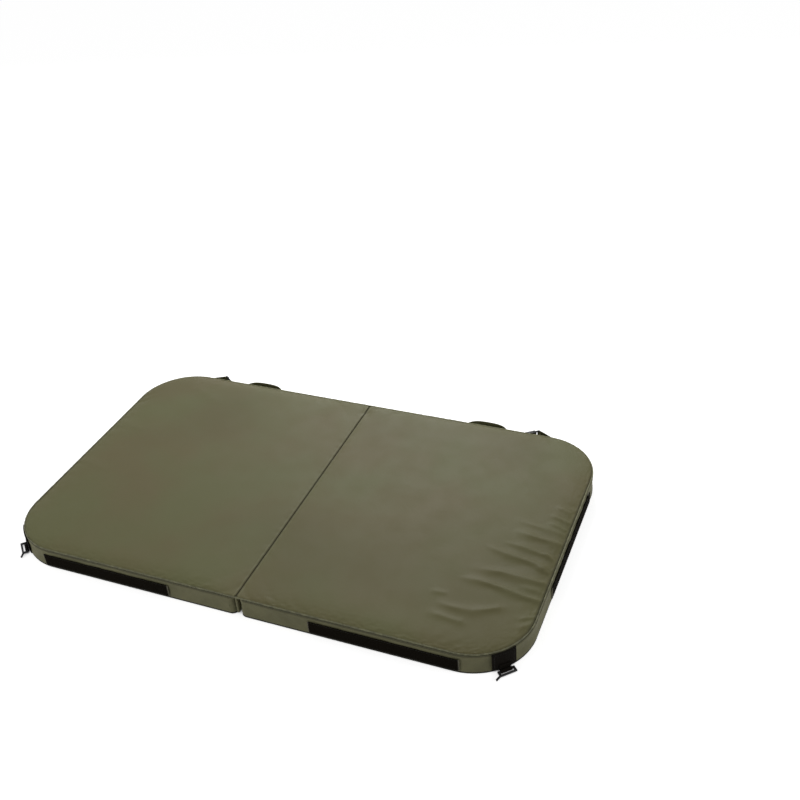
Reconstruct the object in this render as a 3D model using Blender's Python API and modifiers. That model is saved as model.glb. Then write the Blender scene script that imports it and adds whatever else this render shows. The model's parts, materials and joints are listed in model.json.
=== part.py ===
"""Folding unhooking mat: two foam halves in one fabric cover that fold face to face.

The mat lies open and flat. The origin is on the floor under the middle of the whole
object, +X runs along the mat to the right half, +Y to the edge with the handles and
+Z is up. Lengths are in metres. Each piece is first shaped for the right half and
mirrored for the left one.
"""

import math

import bmesh
import bpy
from mathutils import Matrix, Vector

# The whole mat
MAT_LENGTH = 1.000
MAT_WIDTH = 0.5926
SEAM_HEIGHT = 0.0432
CORNER_RADIUS = 0.1095
CROWN = 0.005
CROWN_REACH = 0.160

# The fold between the halves
FOLD_HALF_GAP = 0.003
FOLD_CORNER_RADIUS = 0.012
FOLD_SEAM_HALF_GAP = 0.0005
SHEET_FOLD_RADIUS = 0.004
PLEAT_THICK = 0.001
PLEAT_RADIUS = 0.0019
PLEAT_SHIFT = 0.00025
PLEAT_RECESS = 0.0028
PLEAT_DEPTH = 0.0160

# Fabric, foam and the gap that neighbouring pieces keep
SHEET = 0.0012
CLEARANCE = 0.0003
FOAM_EASE = 0.0006
LEAST_RADIUS = 0.001

# Seams: a rolled edge along the top and a cord edge along the base
TOP_PIPING_RADIUS = 0.0017
BASE_PIPING_RADIUS = 0.0015
PIPING_INSET = 0.0022
PIPING_DROP = 0.0006

# Side band, whose edges tuck in under the seams
BAND_TUCK = 0.0014
LOWER_TURN = 0.0056
UPPER_TURN = 0.0360

# Hook and loop strips
STRIP_LENGTH = 0.267
STRIP_WIDTH = 0.025
STRIP_THICK = 0.0014
STRIP_FOOT = 0.006
FRONT_STRIP_RUN_ON = 0.0125
SIDE_STRIP_MARGIN = 0.0183

# Webbing patch round each front corner, with a ring at its foot
WEBBING = 0.0015
CORNER_BAND_STEPS = 2
LOOP_WEBBING = 0.001
LOOP_WIDTH = 0.020
LOOP_TAIL = 0.012
LOOP_BORE = 0.0023
LOOP_FLOOR_GAP = 0.00015
LOOP_SWEEP = 290.0
RING_WIDTH = 0.030
RING_BAR = 0.0026
RING_SLOT = 0.0054
RING_ARM = 0.003
RING_THICK = 0.0026
TONGUE_LENGTH = 0.009
TONGUE_WIDTH = 0.0026
TONGUE_SPLAY = 0.0045

# Carry handle in the middle of each back edge, inboard of the strap
HANDLE_RUN = 0.1564
HANDLE_SPAN = 0.139
HANDLE_WIDTH = 0.030
HANDLE_TOP = 0.037
HANDLE_BULGE = 0.0155
HANDLE_FULLNESS = 2.5
HANDLE_LEAD = 0.003
HANDLE_STEPS = 14
HANDLE_PATCH = 0.022

# Back strap and its buckle half, sewn down on one facet of the back corner
STRAP_FACET = 2
STRAP_PATCH = 0.018
STRAP_WIDTH = 0.025
STRAP_FOOT = 0.010
STRAP_WEBBING = 0.0012
STRAP_BULGE = 0.0205
STRAP_RUN = 0.0519
STRAP_CURVE = 0.018
STRAP_STEPS = 8
STRAP_EYE_BORE = 0.0025
STRAP_EYE_SWEEP = 275.0
BUCKLE_WIDTH = 0.031
BUCKLE_LENGTH = 0.0285
BUCKLE_PLATE = 0.0032
BUCKLE_BAR = 0.0026
BUCKLE_SLOT = 0.0044
BUCKLE_ARM = 0.0025
BUCKLE_NECK = 0.0035
BUCKLE_TILT = 35.0
PRONG_WIDTH = 0.0042
PRONG_BARB = 0.0020
PRONG_NOSE = 0.0035
GUIDE_WIDTH = 0.006
SOCKET_THICK = 0.0076
SOCKET_WALL = 0.0017
MOUTH_DEPTH = 0.0155
OVERRUN = 0.002

# Smoothness, and the reach within which doubled points are welded
WELD = 0.000001
CORNER_STEPS = 8
FOLD_STEPS = 3
EYE_STEPS = 12
TURN_STEPS = 4
CROWN_RING_SHARES = (0.0, 0.04, 0.12, 0.26, 0.46, 0.71, 1.0)

# Places worked out from the sizes above
HALF_LENGTH = MAT_LENGTH / 2
HALF_WIDTH = MAT_WIDTH / 2
SHEET_INSET = PIPING_INSET + TOP_PIPING_RADIUS + CLEARANCE
CORE_TUCK = SHEET_INSET + CLEARANCE
TOP_PIPING_Z = SEAM_HEIGHT - PIPING_DROP
BAND_FOOT = 2 * BASE_PIPING_RADIUS + CLEARANCE
BAND_HEAD = TOP_PIPING_Z - TOP_PIPING_RADIUS - CLEARANCE
BAND_PROFILE = (
    (BAND_TUCK, BAND_FOOT),
    (0.0, LOWER_TURN),
    (0.0, UPPER_TURN),
    (BAND_TUCK, BAND_HEAD),
)
HINGE_Z = TOP_PIPING_Z + TOP_PIPING_RADIUS + CLEARANCE
LOOP_RADIUS = LOOP_BORE + LOOP_WEBBING / 2
LOOP_TAIL_X = CLEARANCE + WEBBING + CLEARANCE + LOOP_WEBBING / 2
RING_BAR_X = LOOP_TAIL_X + LOOP_RADIUS
RING_BAR_Z = LOOP_BORE + LOOP_WEBBING + LOOP_FLOOR_GAP
HANDLE_AXIS_Y = HALF_WIDTH + CLEARANCE + WEBBING / 2
STRAP_LEAD = STRAP_WEBBING / 4
STRAP_AXIS_ALONG = STRAP_PATCH / 2 + STRAP_WEBBING / 2 + STRAP_LEAD
STRAP_AXIS_OUT = CLEARANCE + STRAP_WEBBING / 2
STRAP_EYE_RADIUS = STRAP_EYE_BORE + STRAP_WEBBING / 2
FRONT_STRIP_X = HALF_LENGTH - CORNER_RADIUS + FRONT_STRIP_RUN_ON - STRIP_LENGTH / 2
SIDE_STRIP_Y = HALF_WIDTH - CORNER_RADIUS - SIDE_STRIP_MARGIN - STRIP_LENGTH / 2
BUCKLE_BAR_Y = HALF_WIDTH + STRAP_BULGE
BACK_REACH = STRAP_BULGE + STRAP_EYE_BORE + STRAP_WEBBING
FRONT_REACH = CLEARANCE + STRIP_THICK
MAT_Y = (FRONT_REACH - BACK_REACH) / 2
SIDES = {"left": -1, "right": 1}

COLOURS = {
    "top_fabric": ((0.125, 0.118, 0.070), 0.62),
    "side_fabric": ((0.070, 0.066, 0.036), 0.70),
    "base_fabric": ((0.030, 0.030, 0.022), 0.80),
    "foam": ((0.45, 0.45, 0.42), 0.95),
    "hook_and_loop": ((0.010, 0.009, 0.008), 0.95),
    "black_webbing": ((0.012, 0.011, 0.010), 0.85),
    "olive_webbing": ((0.055, 0.060, 0.030), 0.85),
    "black_plastic": ((0.018, 0.018, 0.018), 0.40),
}


def clear_scene():
    for obj in list(bpy.data.objects):
        bpy.data.objects.remove(obj, do_unlink=True)


def new_collection(name):
    collection = bpy.data.collections.new(name)
    bpy.context.scene.collection.children.link(collection)
    return collection


def material(node, finish):
    """Own material of one node, in the colour and roughness of its finish."""
    colour, roughness = COLOURS[finish]
    made = bpy.data.materials.new(node)
    made.use_nodes = True
    shader = made.node_tree.nodes["Principled BSDF"]
    shader.inputs["Base Color"].default_value = (*colour, 1.0)
    shader.inputs["Roughness"].default_value = roughness
    shader.inputs["Metallic"].default_value = 0.0
    return made


class Builder:
    """Adds pieces to the mat; side is 1 for the right half and -1 for the left."""

    def __init__(self):
        self.parts = new_collection("unhooking_mat")
        self.cutters = new_collection("cutters")
        self.carriers = {}

    def carrier(self, name, place, parent=None):
        """Empty that stands on a joint's axis and carries what moves with it."""
        empty = bpy.data.objects.new(name, None)
        empty.location = place
        self.parts.objects.link(empty)
        self.hang(empty, parent)
        self.carriers[name] = empty

    def hang(self, obj, parent):
        if parent:
            carrier = self.carriers[parent]
            bpy.context.view_layer.update()
            obj.parent = carrier
            obj.matrix_parent_inverse = carrier.matrix_world.inverted()

    def add(self, name, data, finish, parent, place=(0, 0, 0), turn=0.0):
        """Object from a mesh or curve whose own origin goes to place."""
        obj = bpy.data.objects.new(name, data)
        obj.location = place
        obj.rotation_euler = (0, 0, turn)
        obj.data.materials.append(material(name, finish))
        self.parts.objects.link(obj)
        self.hang(obj, parent)
        return obj


def solidify(obj, thickness, offset):
    wall = obj.modifiers.new("Wall", "SOLIDIFY")
    wall.thickness = thickness
    wall.offset = offset
    wall.use_even_offset = True


def mesh_from(bm, name, side=1):
    """Mesh of a finished bmesh, mirrored across the fold for the left half."""
    if side < 0:
        bmesh.ops.scale(bm, vec=(-1, 1, 1), verts=bm.verts)
        bmesh.ops.reverse_faces(bm, faces=bm.faces)
    mesh = bpy.data.meshes.new(name)
    bm.to_mesh(mesh)
    bm.free()
    return mesh


def arc(centre, radius, first, last, steps):
    """Points on a circle between two angles in degrees."""
    points = []
    for step in range(steps + 1):
        angle = math.radians(first + (last - first) * step / steps)
        points.append(
            (centre[0] + radius * math.cos(angle), centre[1] + radius * math.sin(angle))
        )
    return points


def half_outline(inset, fold_x=FOLD_HALF_GAP, fold_radius=FOLD_CORNER_RADIUS):
    """Right half seen from above, drawn in by inset, anticlockwise from the fold."""
    near, far, side = fold_x + inset, HALF_LENGTH - inset, HALF_WIDTH - inset
    outer = max(CORNER_RADIUS - inset, LEAST_RADIUS)
    inner = max(fold_radius - inset, LEAST_RADIUS)
    front, back = -side, side
    return (
        arc((near + inner, front + inner), inner, 180, 270, FOLD_STEPS)
        + arc((far - outer, front + outer), outer, 270, 360, CORNER_STEPS)
        + arc((far - outer, back - outer), outer, 0, 90, CORNER_STEPS)
        + arc((near + inner, back - inner), inner, 90, 180, FOLD_STEPS)
    )


def sheet_outline(inset):
    """Top sheet's outline, which reaches the seam on three sides and the fold."""
    fold_x = FOLD_SEAM_HALF_GAP - SHEET_INSET
    return half_outline(SHEET_INSET + inset, fold_x, SHEET_FOLD_RADIUS + SHEET_INSET)


def crown_height(share):
    return CROWN * math.sin(share * math.pi / 2)


def row_of(bm, outline, z):
    return [bm.verts.new((x, y, z)) for x, y in outline]


def skin(bm, rows, closed=True):
    """Faces between rows of points that match one to one."""
    for lower, upper in zip(rows, rows[1:]):
        count = len(lower) if closed else len(lower) - 1
        for i in range(count):
            j = (i + 1) % len(lower)
            bm.faces.new((lower[i], lower[j], upper[j], upper[i]))


def foam_core(side):
    """Foam slab: side walls that swell between the seams and a crowned top."""
    bm = bmesh.new()
    swell = SHEET + CLEARANCE
    top = SEAM_HEIGHT - SHEET - FOAM_EASE
    profile = [(CORE_TUCK, SHEET + CLEARANCE), (swell, LOWER_TURN), (swell, UPPER_TURN)]
    rows = [row_of(bm, half_outline(inset), z) for inset, z in profile]
    for share in CROWN_RING_SHARES:
        outline = half_outline(CORE_TUCK + share * CROWN_REACH)
        rows.append(row_of(bm, outline, top + crown_height(share)))
    skin(bm, rows)
    bm.faces.new(reversed(rows[0]))
    bm.faces.new(rows[-1])
    return mesh_from(bm, "foam_core", side)


def top_sheet(side):
    """Crowned upper fabric as an open surface; the wall is added below it."""
    bm = bmesh.new()
    rows = []
    for share in CROWN_RING_SHARES:
        outline = sheet_outline(share * CROWN_REACH)
        rows.append(row_of(bm, outline, SEAM_HEIGHT + crown_height(share)))
    skin(bm, rows)
    bm.faces.new(rows[-1])
    return mesh_from(bm, "top_sheet", side)


def base_sheet(side):
    bm = bmesh.new()
    bm.faces.new(row_of(bm, half_outline(SHEET_INSET), SHEET))
    return mesh_from(bm, "base_sheet", side)


def side_band(side):
    bm = bmesh.new()
    skin(bm, [row_of(bm, half_outline(inset), z) for inset, z in BAND_PROFILE])
    return mesh_from(bm, "side_band", side)


def tube(name, points, radius, z, closed, side):
    """Round cord through points of an outline at one height."""
    curve = bpy.data.curves.new(name, "CURVE")
    curve.dimensions = "3D"
    curve.bevel_depth = radius
    curve.bevel_resolution = 2
    curve.use_fill_caps = True
    spline = curve.splines.new("POLY")
    spline.points.add(len(points) - 1)
    for point, (x, y) in zip(spline.points, points):
        point.co = (side * x, y, z, 1)
    spline.use_cyclic_u = closed
    return curve


def top_seam_path():
    """Seam line on the three outer sides of a half, from fold to fold."""
    ring = half_outline(PIPING_INSET)[FOLD_STEPS + 1 : -(FOLD_STEPS + 1)]
    front, back = ring[0], ring[-1]
    return [(FOLD_SEAM_HALF_GAP, front[1]), *ring, (FOLD_SEAM_HALF_GAP, back[1])]


def box(name, low, high, side=1):
    """Box between two corners, mirrored for the left half."""
    bm = bmesh.new()
    bmesh.ops.create_cube(bm, size=1)
    size = Vector(high) - Vector(low)
    centre = (Vector(high) + Vector(low)) / 2
    bmesh.ops.transform(
        bm, matrix=Matrix.Translation(centre) @ Matrix.Diagonal((*size, 1)), verts=bm.verts
    )
    return mesh_from(bm, name, side)


def strip_on_front(side):
    face = -HALF_WIDTH - CLEARANCE
    low = (FRONT_STRIP_X - STRIP_LENGTH / 2, face - STRIP_THICK, STRIP_FOOT)
    high = (FRONT_STRIP_X + STRIP_LENGTH / 2, face, STRIP_FOOT + STRIP_WIDTH)
    return box("front_strip", low, high, side)


def strip_on_end(side):
    face = HALF_LENGTH + CLEARANCE
    low = (face, SIDE_STRIP_Y - STRIP_LENGTH / 2, STRIP_FOOT)
    high = (face + STRIP_THICK, SIDE_STRIP_Y + STRIP_LENGTH / 2, STRIP_FOOT + STRIP_WIDTH)
    return box("side_strip", low, high, side)


def corner_band(side):
    """Webbing patch that follows the side band round the middle of the front corner."""
    bm = bmesh.new()
    first = FOLD_STEPS + 1 + (CORNER_STEPS - CORNER_BAND_STEPS) // 2
    rows = []
    for inset, z in BAND_PROFILE:
        outline = half_outline(inset - CLEARANCE)[first : first + CORNER_BAND_STEPS + 1]
        rows.append(row_of(bm, outline, z))
    skin(bm, rows, closed=False)
    return mesh_from(bm, "corner_band", side)


def ribbon(name, path, low, high, side=1):
    """Upright open strip of fabric that stands on a path in plan."""
    bm = bmesh.new()
    skin(bm, [row_of(bm, path, low), row_of(bm, path, high)], closed=False)
    return mesh_from(bm, name, side)


def pleat_path(direction):
    """Line of a tuck between the halves, whose closed nose faces outwards."""
    nose = HALF_WIDTH - PLEAT_RECESS - PLEAT_THICK / 2 - PLEAT_RADIUS
    inner = nose - PLEAT_DEPTH
    turn = arc((0, nose), PLEAT_RADIUS, 0, 180, TURN_STEPS)
    path = [(PLEAT_RADIUS, inner), *turn, (-PLEAT_RADIUS, inner)]
    return [(direction * x - PLEAT_SHIFT, direction * y) for x, y in path]


def corner_frame(side):
    """Place and turn of the front corner: local X points outwards, Y along the edge."""
    centre = Vector((HALF_LENGTH - CORNER_RADIUS, CORNER_RADIUS - HALF_WIDTH, 0))
    out = Vector((math.sqrt(0.5), -math.sqrt(0.5), 0))
    place = centre + CORNER_RADIUS * out
    turn = math.radians(-45)
    if side < 0:
        place.x = -place.x
        turn = math.radians(-135)
    return place, turn


def corner_loop():
    """Webbing loop round the ring's bar, with a tail against the corner patch."""
    eye = arc((RING_BAR_X, RING_BAR_Z), LOOP_RADIUS, 180, 180 + LOOP_SWEEP, EYE_STEPS)
    path = [(LOOP_TAIL_X, RING_BAR_Z + LOOP_TAIL), *eye]
    bm = bmesh.new()
    rows = []
    for y in (-LOOP_WIDTH / 2, LOOP_WIDTH / 2):
        rows.append([bm.verts.new((x, y, z)) for x, z in path])
    skin(bm, rows, closed=False)
    return mesh_from(bm, "corner_loop")


def flat_plate(name, outlines, thickness):
    """Filled flat outline, further outlines being its holes, with a thickness."""
    curve = bpy.data.curves.new(name, "CURVE")
    curve.dimensions = "2D"
    curve.fill_mode = "BOTH"
    curve.extrude = thickness / 2
    for outline in outlines:
        spline = curve.splines.new("POLY")
        spline.points.add(len(outline) - 1)
        for point, (x, y) in zip(spline.points, outline):
            point.co = (x, y, 0, 1)
        spline.use_cyclic_u = True
    return curve


def rectangle(left, right, low, high):
    return [(left, low), (right, low), (right, high), (left, high)]


def corner_ring(side):
    """Rectangular ring whose inner bar lies at its origin, with a short tongue."""
    half = RING_WIDTH / 2
    inner = -RING_BAR / 2
    slot = RING_BAR / 2 + RING_SLOT
    outer = slot + RING_BAR
    tongue_end = half + TONGUE_LENGTH
    frame = [
        (inner, -half),
        (outer - TONGUE_WIDTH, -half),
        (outer + TONGUE_SPLAY - TONGUE_WIDTH, -tongue_end),
        (outer + TONGUE_SPLAY, -tongue_end),
        (outer, -half),
        (outer, half),
        (inner, half),
    ]
    hole = rectangle(RING_BAR / 2, slot, RING_ARM - half, half - RING_ARM)
    if side < 0:
        frame = [(x, -y) for x, y in frame]
    return flat_plate("corner_ring", [frame, hole], RING_THICK)


def handle_patch(side, end):
    """Sewn patch on one end of the carry handle: end is 1 outboard, -1 at the fold."""
    centre = handle_x() + end * (HANDLE_SPAN - HANDLE_PATCH) / 2
    face = HALF_WIDTH + CLEARANCE
    low = (centre - HANDLE_PATCH / 2, face, HANDLE_TOP - HANDLE_WIDTH)
    high = (centre + HANDLE_PATCH / 2, face + WEBBING, HANDLE_TOP)
    return box("handle_patch", low, high, side)


def carry_handle():
    """Webbing arch that hangs from its upper edge; the origin is on that edge."""
    end = HANDLE_SPAN / 2 - HANDLE_PATCH - CLEARANCE
    path = [(-end, 0)]
    for step in range(HANDLE_STEPS + 1):
        share = 2 * step / HANDLE_STEPS - 1
        bulge = HANDLE_BULGE * (1 - abs(share) ** HANDLE_FULLNESS)
        path.append((share * (end - HANDLE_LEAD), bulge))
    path.append((end, 0))
    return ribbon("handle", path, -HANDLE_WIDTH, 0)


def strap_place(out, along):
    """Point off the middle of the strap's facet of the back corner, and its line."""
    step = math.pi / 2 / CORNER_STEPS
    angle = math.pi / 2 - (STRAP_FACET - 0.5) * step
    outward = Vector((math.cos(angle), math.sin(angle)))
    inboard = Vector((-outward.y, outward.x))
    centre = Vector((HALF_LENGTH - CORNER_RADIUS, HALF_WIDTH - CORNER_RADIUS))
    middle = centre + CORNER_RADIUS * math.cos(step / 2) * outward
    return middle + out * outward + along * inboard, inboard


def strap_axis():
    """Point the strap bends at, and its first direction."""
    return strap_place(STRAP_AXIS_OUT, STRAP_AXIS_ALONG)


def bar_point():
    """Middle of the bar of the buckle half."""
    return Vector((strap_axis()[0].x - STRAP_RUN, BUCKLE_BAR_Y))


def handle_x():
    """Middle of the handle along the back edge."""
    return strap_axis()[0].x - HANDLE_RUN


def strap_patch(side):
    """Sewn patch over the strap's end; its wall is added to both sides of the path."""
    out = CLEARANCE + WEBBING / 2
    path = [strap_place(out, end * STRAP_PATCH / 2)[0] for end in (-1, 1)]
    return ribbon("strap_patch", path, STRAP_FOOT, STRAP_FOOT + STRAP_WIDTH, side)


def bezier(ends, steps):
    """Points of a cubic curve through four control points, without its last point."""
    points = []
    for step in range(steps):
        t = step / steps
        u = 1 - t
        weights = (u * u * u, 3 * u * u * t, 3 * u * t * t, t * t * t)
        point = sum((w * Vector(end) for w, end in zip(weights, ends)), Vector((0, 0)))
        points.append(tuple(point))
    return points


def back_strap(side):
    """Webbing from its sewn end, out and inboard to an eye round the buckle's bar."""
    axis, start = strap_axis()
    bar = bar_point() - axis
    approach = bar.normalized()
    first = math.degrees(math.atan2(approach.y, approach.x)) - 90
    eye = arc(bar, STRAP_EYE_RADIUS, first, first + STRAP_EYE_SWEEP, EYE_STEPS)
    touch = Vector(eye[0])
    ends = ((0, 0), STRAP_CURVE * start, touch - STRAP_CURVE * approach, touch)
    path = [tuple(-STRAP_LEAD * start), *bezier(ends, STRAP_STEPS), *eye]
    return ribbon("back_strap", path, -STRAP_WIDTH / 2, STRAP_WIDTH / 2, side)


def buckle_slot():
    """Outline of the slot beside a buckle's bar, whose middle is the origin."""
    half = BUCKLE_WIDTH / 2 - BUCKLE_ARM
    return rectangle(BUCKLE_BAR / 2, BUCKLE_BAR / 2 + BUCKLE_SLOT, -half, half)


def prong_buckle():
    """Buckle half with two spring prongs and a guide between them."""
    body = BUCKLE_BAR / 2 + BUCKLE_SLOT + BUCKLE_NECK
    half = BUCKLE_WIDTH / 2
    inside = half - PRONG_WIDTH
    tip = BUCKLE_LENGTH
    barb = tip - PRONG_NOSE
    guide = GUIDE_WIDTH / 2
    upper = [
        (body, guide),
        (body, inside - PRONG_BARB),
        (barb, inside - PRONG_BARB),
        (tip, inside - PRONG_BARB),
        (tip, half - PRONG_WIDTH),
        (barb, half),
        (barb, half - PRONG_BARB),
        (body, half - PRONG_BARB),
        (body, half),
        (-BUCKLE_BAR / 2, half),
    ]
    outline = [(tip, -guide), (tip, guide), *upper]
    outline += [(x, -y) for x, y in reversed(upper)]
    return flat_plate("prong_buckle", [outline, buckle_slot()], BUCKLE_PLATE)


def welded_mesh(obj):
    """Mesh of a curve object, with its caps welded to its walls."""
    graph = bpy.context.evaluated_depsgraph_get()
    mesh = bpy.data.meshes.new_from_object(obj.evaluated_get(graph))
    bm = bmesh.new()
    bm.from_mesh(mesh)
    bmesh.ops.remove_doubles(bm, verts=bm.verts, dist=WELD)
    bm.to_mesh(mesh)
    bm.free()
    return mesh


def socket_buckle(builder):
    """Buckle half with a hollow housing that takes the prongs."""
    housing_start = BUCKLE_BAR / 2 + BUCKLE_SLOT + OVERRUN
    half = BUCKLE_WIDTH / 2
    frame = rectangle(-BUCKLE_BAR / 2, housing_start + OVERRUN, -half, half)
    curve = flat_plate("plate", [frame, buckle_slot()], BUCKLE_PLATE)
    plate = bpy.data.objects.new("plate", curve)
    builder.cutters.objects.link(plate)
    bpy.context.view_layer.update()
    mesh = welded_mesh(plate)
    bpy.data.objects.remove(plate, do_unlink=True)
    low = (housing_start, -half, -SOCKET_THICK / 2)
    high = (BUCKLE_LENGTH, half, SOCKET_THICK / 2)
    housing = bpy.data.objects.new("housing", box("housing", low, high))
    mouth_low = (BUCKLE_LENGTH - MOUTH_DEPTH, SOCKET_WALL - half, SOCKET_WALL - SOCKET_THICK / 2)
    mouth_high = (BUCKLE_LENGTH + OVERRUN, half - SOCKET_WALL, SOCKET_THICK / 2 - SOCKET_WALL)
    mouth = bpy.data.objects.new("mouth", box("mouth", mouth_low, mouth_high))
    for cutter in (housing, mouth):
        cutter.hide_render = True
        cutter.display_type = "WIRE"
        builder.cutters.objects.link(cutter)
    return mesh, housing, mouth


def boolean(obj, other, operation):
    cut = obj.modifiers.new(other.name, "BOOLEAN")
    cut.object = other
    cut.operation = operation
    cut.solver = "EXACT"


def add_cover(builder, name, side):
    """Fabric, foam and seams of one half."""
    half = name + "_half"
    builder.add(name + "_foam_core", foam_core(side), "foam", half, (0, MAT_Y, 0))
    sheet = builder.add(name + "_top_sheet", top_sheet(side), "top_fabric", half, (0, MAT_Y, 0))
    solidify(sheet, SHEET, -1)
    base = builder.add(name + "_base_sheet", base_sheet(side), "base_fabric", half, (0, MAT_Y, 0))
    solidify(base, SHEET, -1)
    band = builder.add(name + "_side_band", side_band(side), "side_fabric", half, (0, MAT_Y, 0))
    solidify(band, SHEET, -1)
    top = tube("top_piping", top_seam_path(), TOP_PIPING_RADIUS, TOP_PIPING_Z, False, side)
    builder.add(name + "_top_piping", top, "top_fabric", half, (0, MAT_Y, 0))
    foot = half_outline(PIPING_INSET)
    base_cord = tube("base_piping", foot, BASE_PIPING_RADIUS, BASE_PIPING_RADIUS, True, side)
    builder.add(name + "_base_piping", base_cord, "side_fabric", half, (0, MAT_Y, 0))


def add_front(builder, name, side):
    """Hook and loop strips, and the corner patch with its ring."""
    half = name + "_half"
    strip = strip_on_front(side)
    builder.add(name + "_front_strip", strip, "hook_and_loop", half, (0, MAT_Y, 0))
    builder.add(name + "_side_strip", strip_on_end(side), "hook_and_loop", half, (0, MAT_Y, 0))
    patch = builder.add(name + "_corner_band", corner_band(side), "black_webbing", half, (0, MAT_Y, 0))
    solidify(patch, WEBBING, 1)
    place, turn = corner_frame(side)
    place.y += MAT_Y
    loop = builder.add(name + "_corner_loop", corner_loop(), "black_webbing", half, place, turn)
    solidify(loop, LOOP_WEBBING, 0)
    out = Vector((math.cos(turn), math.sin(turn), 0))
    pivot = place + RING_BAR_X * out + Vector((0, 0, RING_BAR_Z))
    builder.add(name + "_corner_ring", corner_ring(side), "black_plastic", half, pivot, turn)


def add_back(builder, name, side):
    """Carry handle, back strap and buckle half."""
    half = name + "_half"
    for place, end in (("inner", -1), ("outer", 1)):
        node = name + "_handle_patch_" + place
        builder.add(node, handle_patch(side, end), "olive_webbing", half, (0, MAT_Y, 0))
    pivot = (side * handle_x(), MAT_Y + HANDLE_AXIS_Y, HANDLE_TOP)
    handle = builder.add(name + "_handle", carry_handle(), "olive_webbing", half, pivot)
    solidify(handle, WEBBING, 0)
    patch = builder.add(name + "_strap_patch", strap_patch(side), "olive_webbing", half, (0, MAT_Y, 0))
    solidify(patch, WEBBING, 0)
    axis, _ = strap_axis()
    place = (side * axis.x, MAT_Y + axis.y, STRAP_FOOT + STRAP_WIDTH / 2)
    builder.carrier(name + "_strap_axis", place, half)
    ribbon_mesh = back_strap(side)
    node = name + "_back_strap"
    strap = builder.add(node, ribbon_mesh, "olive_webbing", name + "_strap_axis", place)
    solidify(strap, STRAP_WEBBING, 0)
    add_buckle(builder, name, side)


def add_buckle(builder, name, side):
    """Prong half on the left strap, socket half on the right one."""
    turn = math.radians(180 + BUCKLE_TILT) if side > 0 else math.radians(-BUCKLE_TILT)
    bar = bar_point()
    place = (side * bar.x, MAT_Y + bar.y, STRAP_FOOT + STRAP_WIDTH / 2)
    node = name + "_back_buckle"
    parent = name + "_strap_axis"
    if side < 0:
        buckle = builder.add(node, prong_buckle(), "black_plastic", parent, place)
    else:
        mesh, housing, mouth = socket_buckle(builder)
        buckle = builder.add(node, mesh, "black_plastic", parent, place)
        boolean(buckle, housing, "UNION")
        boolean(buckle, mouth, "DIFFERENCE")
        for cutter in (housing, mouth):
            cutter.parent = buckle
    buckle.rotation_euler = (math.pi / 2, 0, turn)


def add_fold(builder):
    """Hinge strip under the middle seam, and a tuck at each of its ends."""
    reach = FOLD_HALF_GAP + CORE_TUCK - CLEARANCE
    end = HALF_WIDTH - SHEET_INSET
    low = (-reach, -end, BAND_HEAD + CLEARANCE)
    high = (reach, end, SEAM_HEIGHT - SHEET - CLEARANCE)
    builder.add("fold_web", box("fold_web", low, high), "side_fabric", "left_half", (0, MAT_Y, 0))
    for name, direction in (("front_pleat", -1), ("back_pleat", 1)):
        mesh = ribbon(name, pleat_path(direction), LOWER_TURN, BAND_HEAD)
        pleat = builder.add(name, mesh, "side_fabric", "left_half", (0, MAT_Y, 0))
        solidify(pleat, PLEAT_THICK, 0)


def main():
    clear_scene()
    builder = Builder()
    builder.carrier("left_half", (0, MAT_Y, HINGE_Z))
    builder.carrier("right_half", (0, MAT_Y, HINGE_Z))
    for name, side in SIDES.items():
        add_cover(builder, name, side)
        add_front(builder, name, side)
        add_back(builder, name, side)
    add_fold(builder)


main()
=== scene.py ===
"""Looks of a folding unhooking mat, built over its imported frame.

Each half is drawn as the right one, from the fold at x = 0 to its outer end, and is
mirrored for the left. Lengths are in metres, in the frame's own place.
"""

import json
import math
import random

import bpy
import numpy as np
from mathutils import Matrix, Vector, noise


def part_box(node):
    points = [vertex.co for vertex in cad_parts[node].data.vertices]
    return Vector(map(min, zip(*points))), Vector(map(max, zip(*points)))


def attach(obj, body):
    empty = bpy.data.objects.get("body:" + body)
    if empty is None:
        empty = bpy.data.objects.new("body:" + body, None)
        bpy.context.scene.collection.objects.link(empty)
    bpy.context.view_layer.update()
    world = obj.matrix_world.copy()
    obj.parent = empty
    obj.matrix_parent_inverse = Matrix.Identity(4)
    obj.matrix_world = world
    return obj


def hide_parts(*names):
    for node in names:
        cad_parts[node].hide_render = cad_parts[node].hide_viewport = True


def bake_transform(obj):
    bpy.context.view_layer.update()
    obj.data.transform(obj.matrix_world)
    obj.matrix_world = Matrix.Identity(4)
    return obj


bl_info = {
    "name": "Folding Unhooking Mat",
    "version": (1, 0, 0),
    "blender": (4, 5, 0),
    "location": "View3D > Sidebar > Mat",
    "description": "Cover, seams, tapes, webbing and buckles of a folding unhooking mat",
    "category": "Add Mesh",
}

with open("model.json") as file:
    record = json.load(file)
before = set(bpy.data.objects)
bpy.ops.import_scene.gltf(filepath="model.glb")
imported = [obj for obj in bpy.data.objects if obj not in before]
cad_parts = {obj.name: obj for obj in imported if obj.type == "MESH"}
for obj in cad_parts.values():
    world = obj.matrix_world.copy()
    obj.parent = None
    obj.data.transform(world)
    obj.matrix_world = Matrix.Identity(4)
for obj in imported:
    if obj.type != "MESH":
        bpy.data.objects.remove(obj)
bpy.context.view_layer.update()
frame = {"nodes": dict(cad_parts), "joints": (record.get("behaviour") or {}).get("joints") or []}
JOINTS = {joint["name"]: Vector(joint["pos_m"]) for joint in frame["joints"]}
SIDES = {"left": -1, "right": 1}
QUARTER = math.pi / 2
ORIGIN = (0, 0, 0)
WHITE = (1.0, 1.0, 1.0, 1.0)
# Points closer than this are merged
SAME_POINT = 0.00001
# Degrees between the two tops when the fold is closed, and the air that stays between them
CLOSED_WEDGE = 4
CLOSED_AIR = 0.00025


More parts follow.
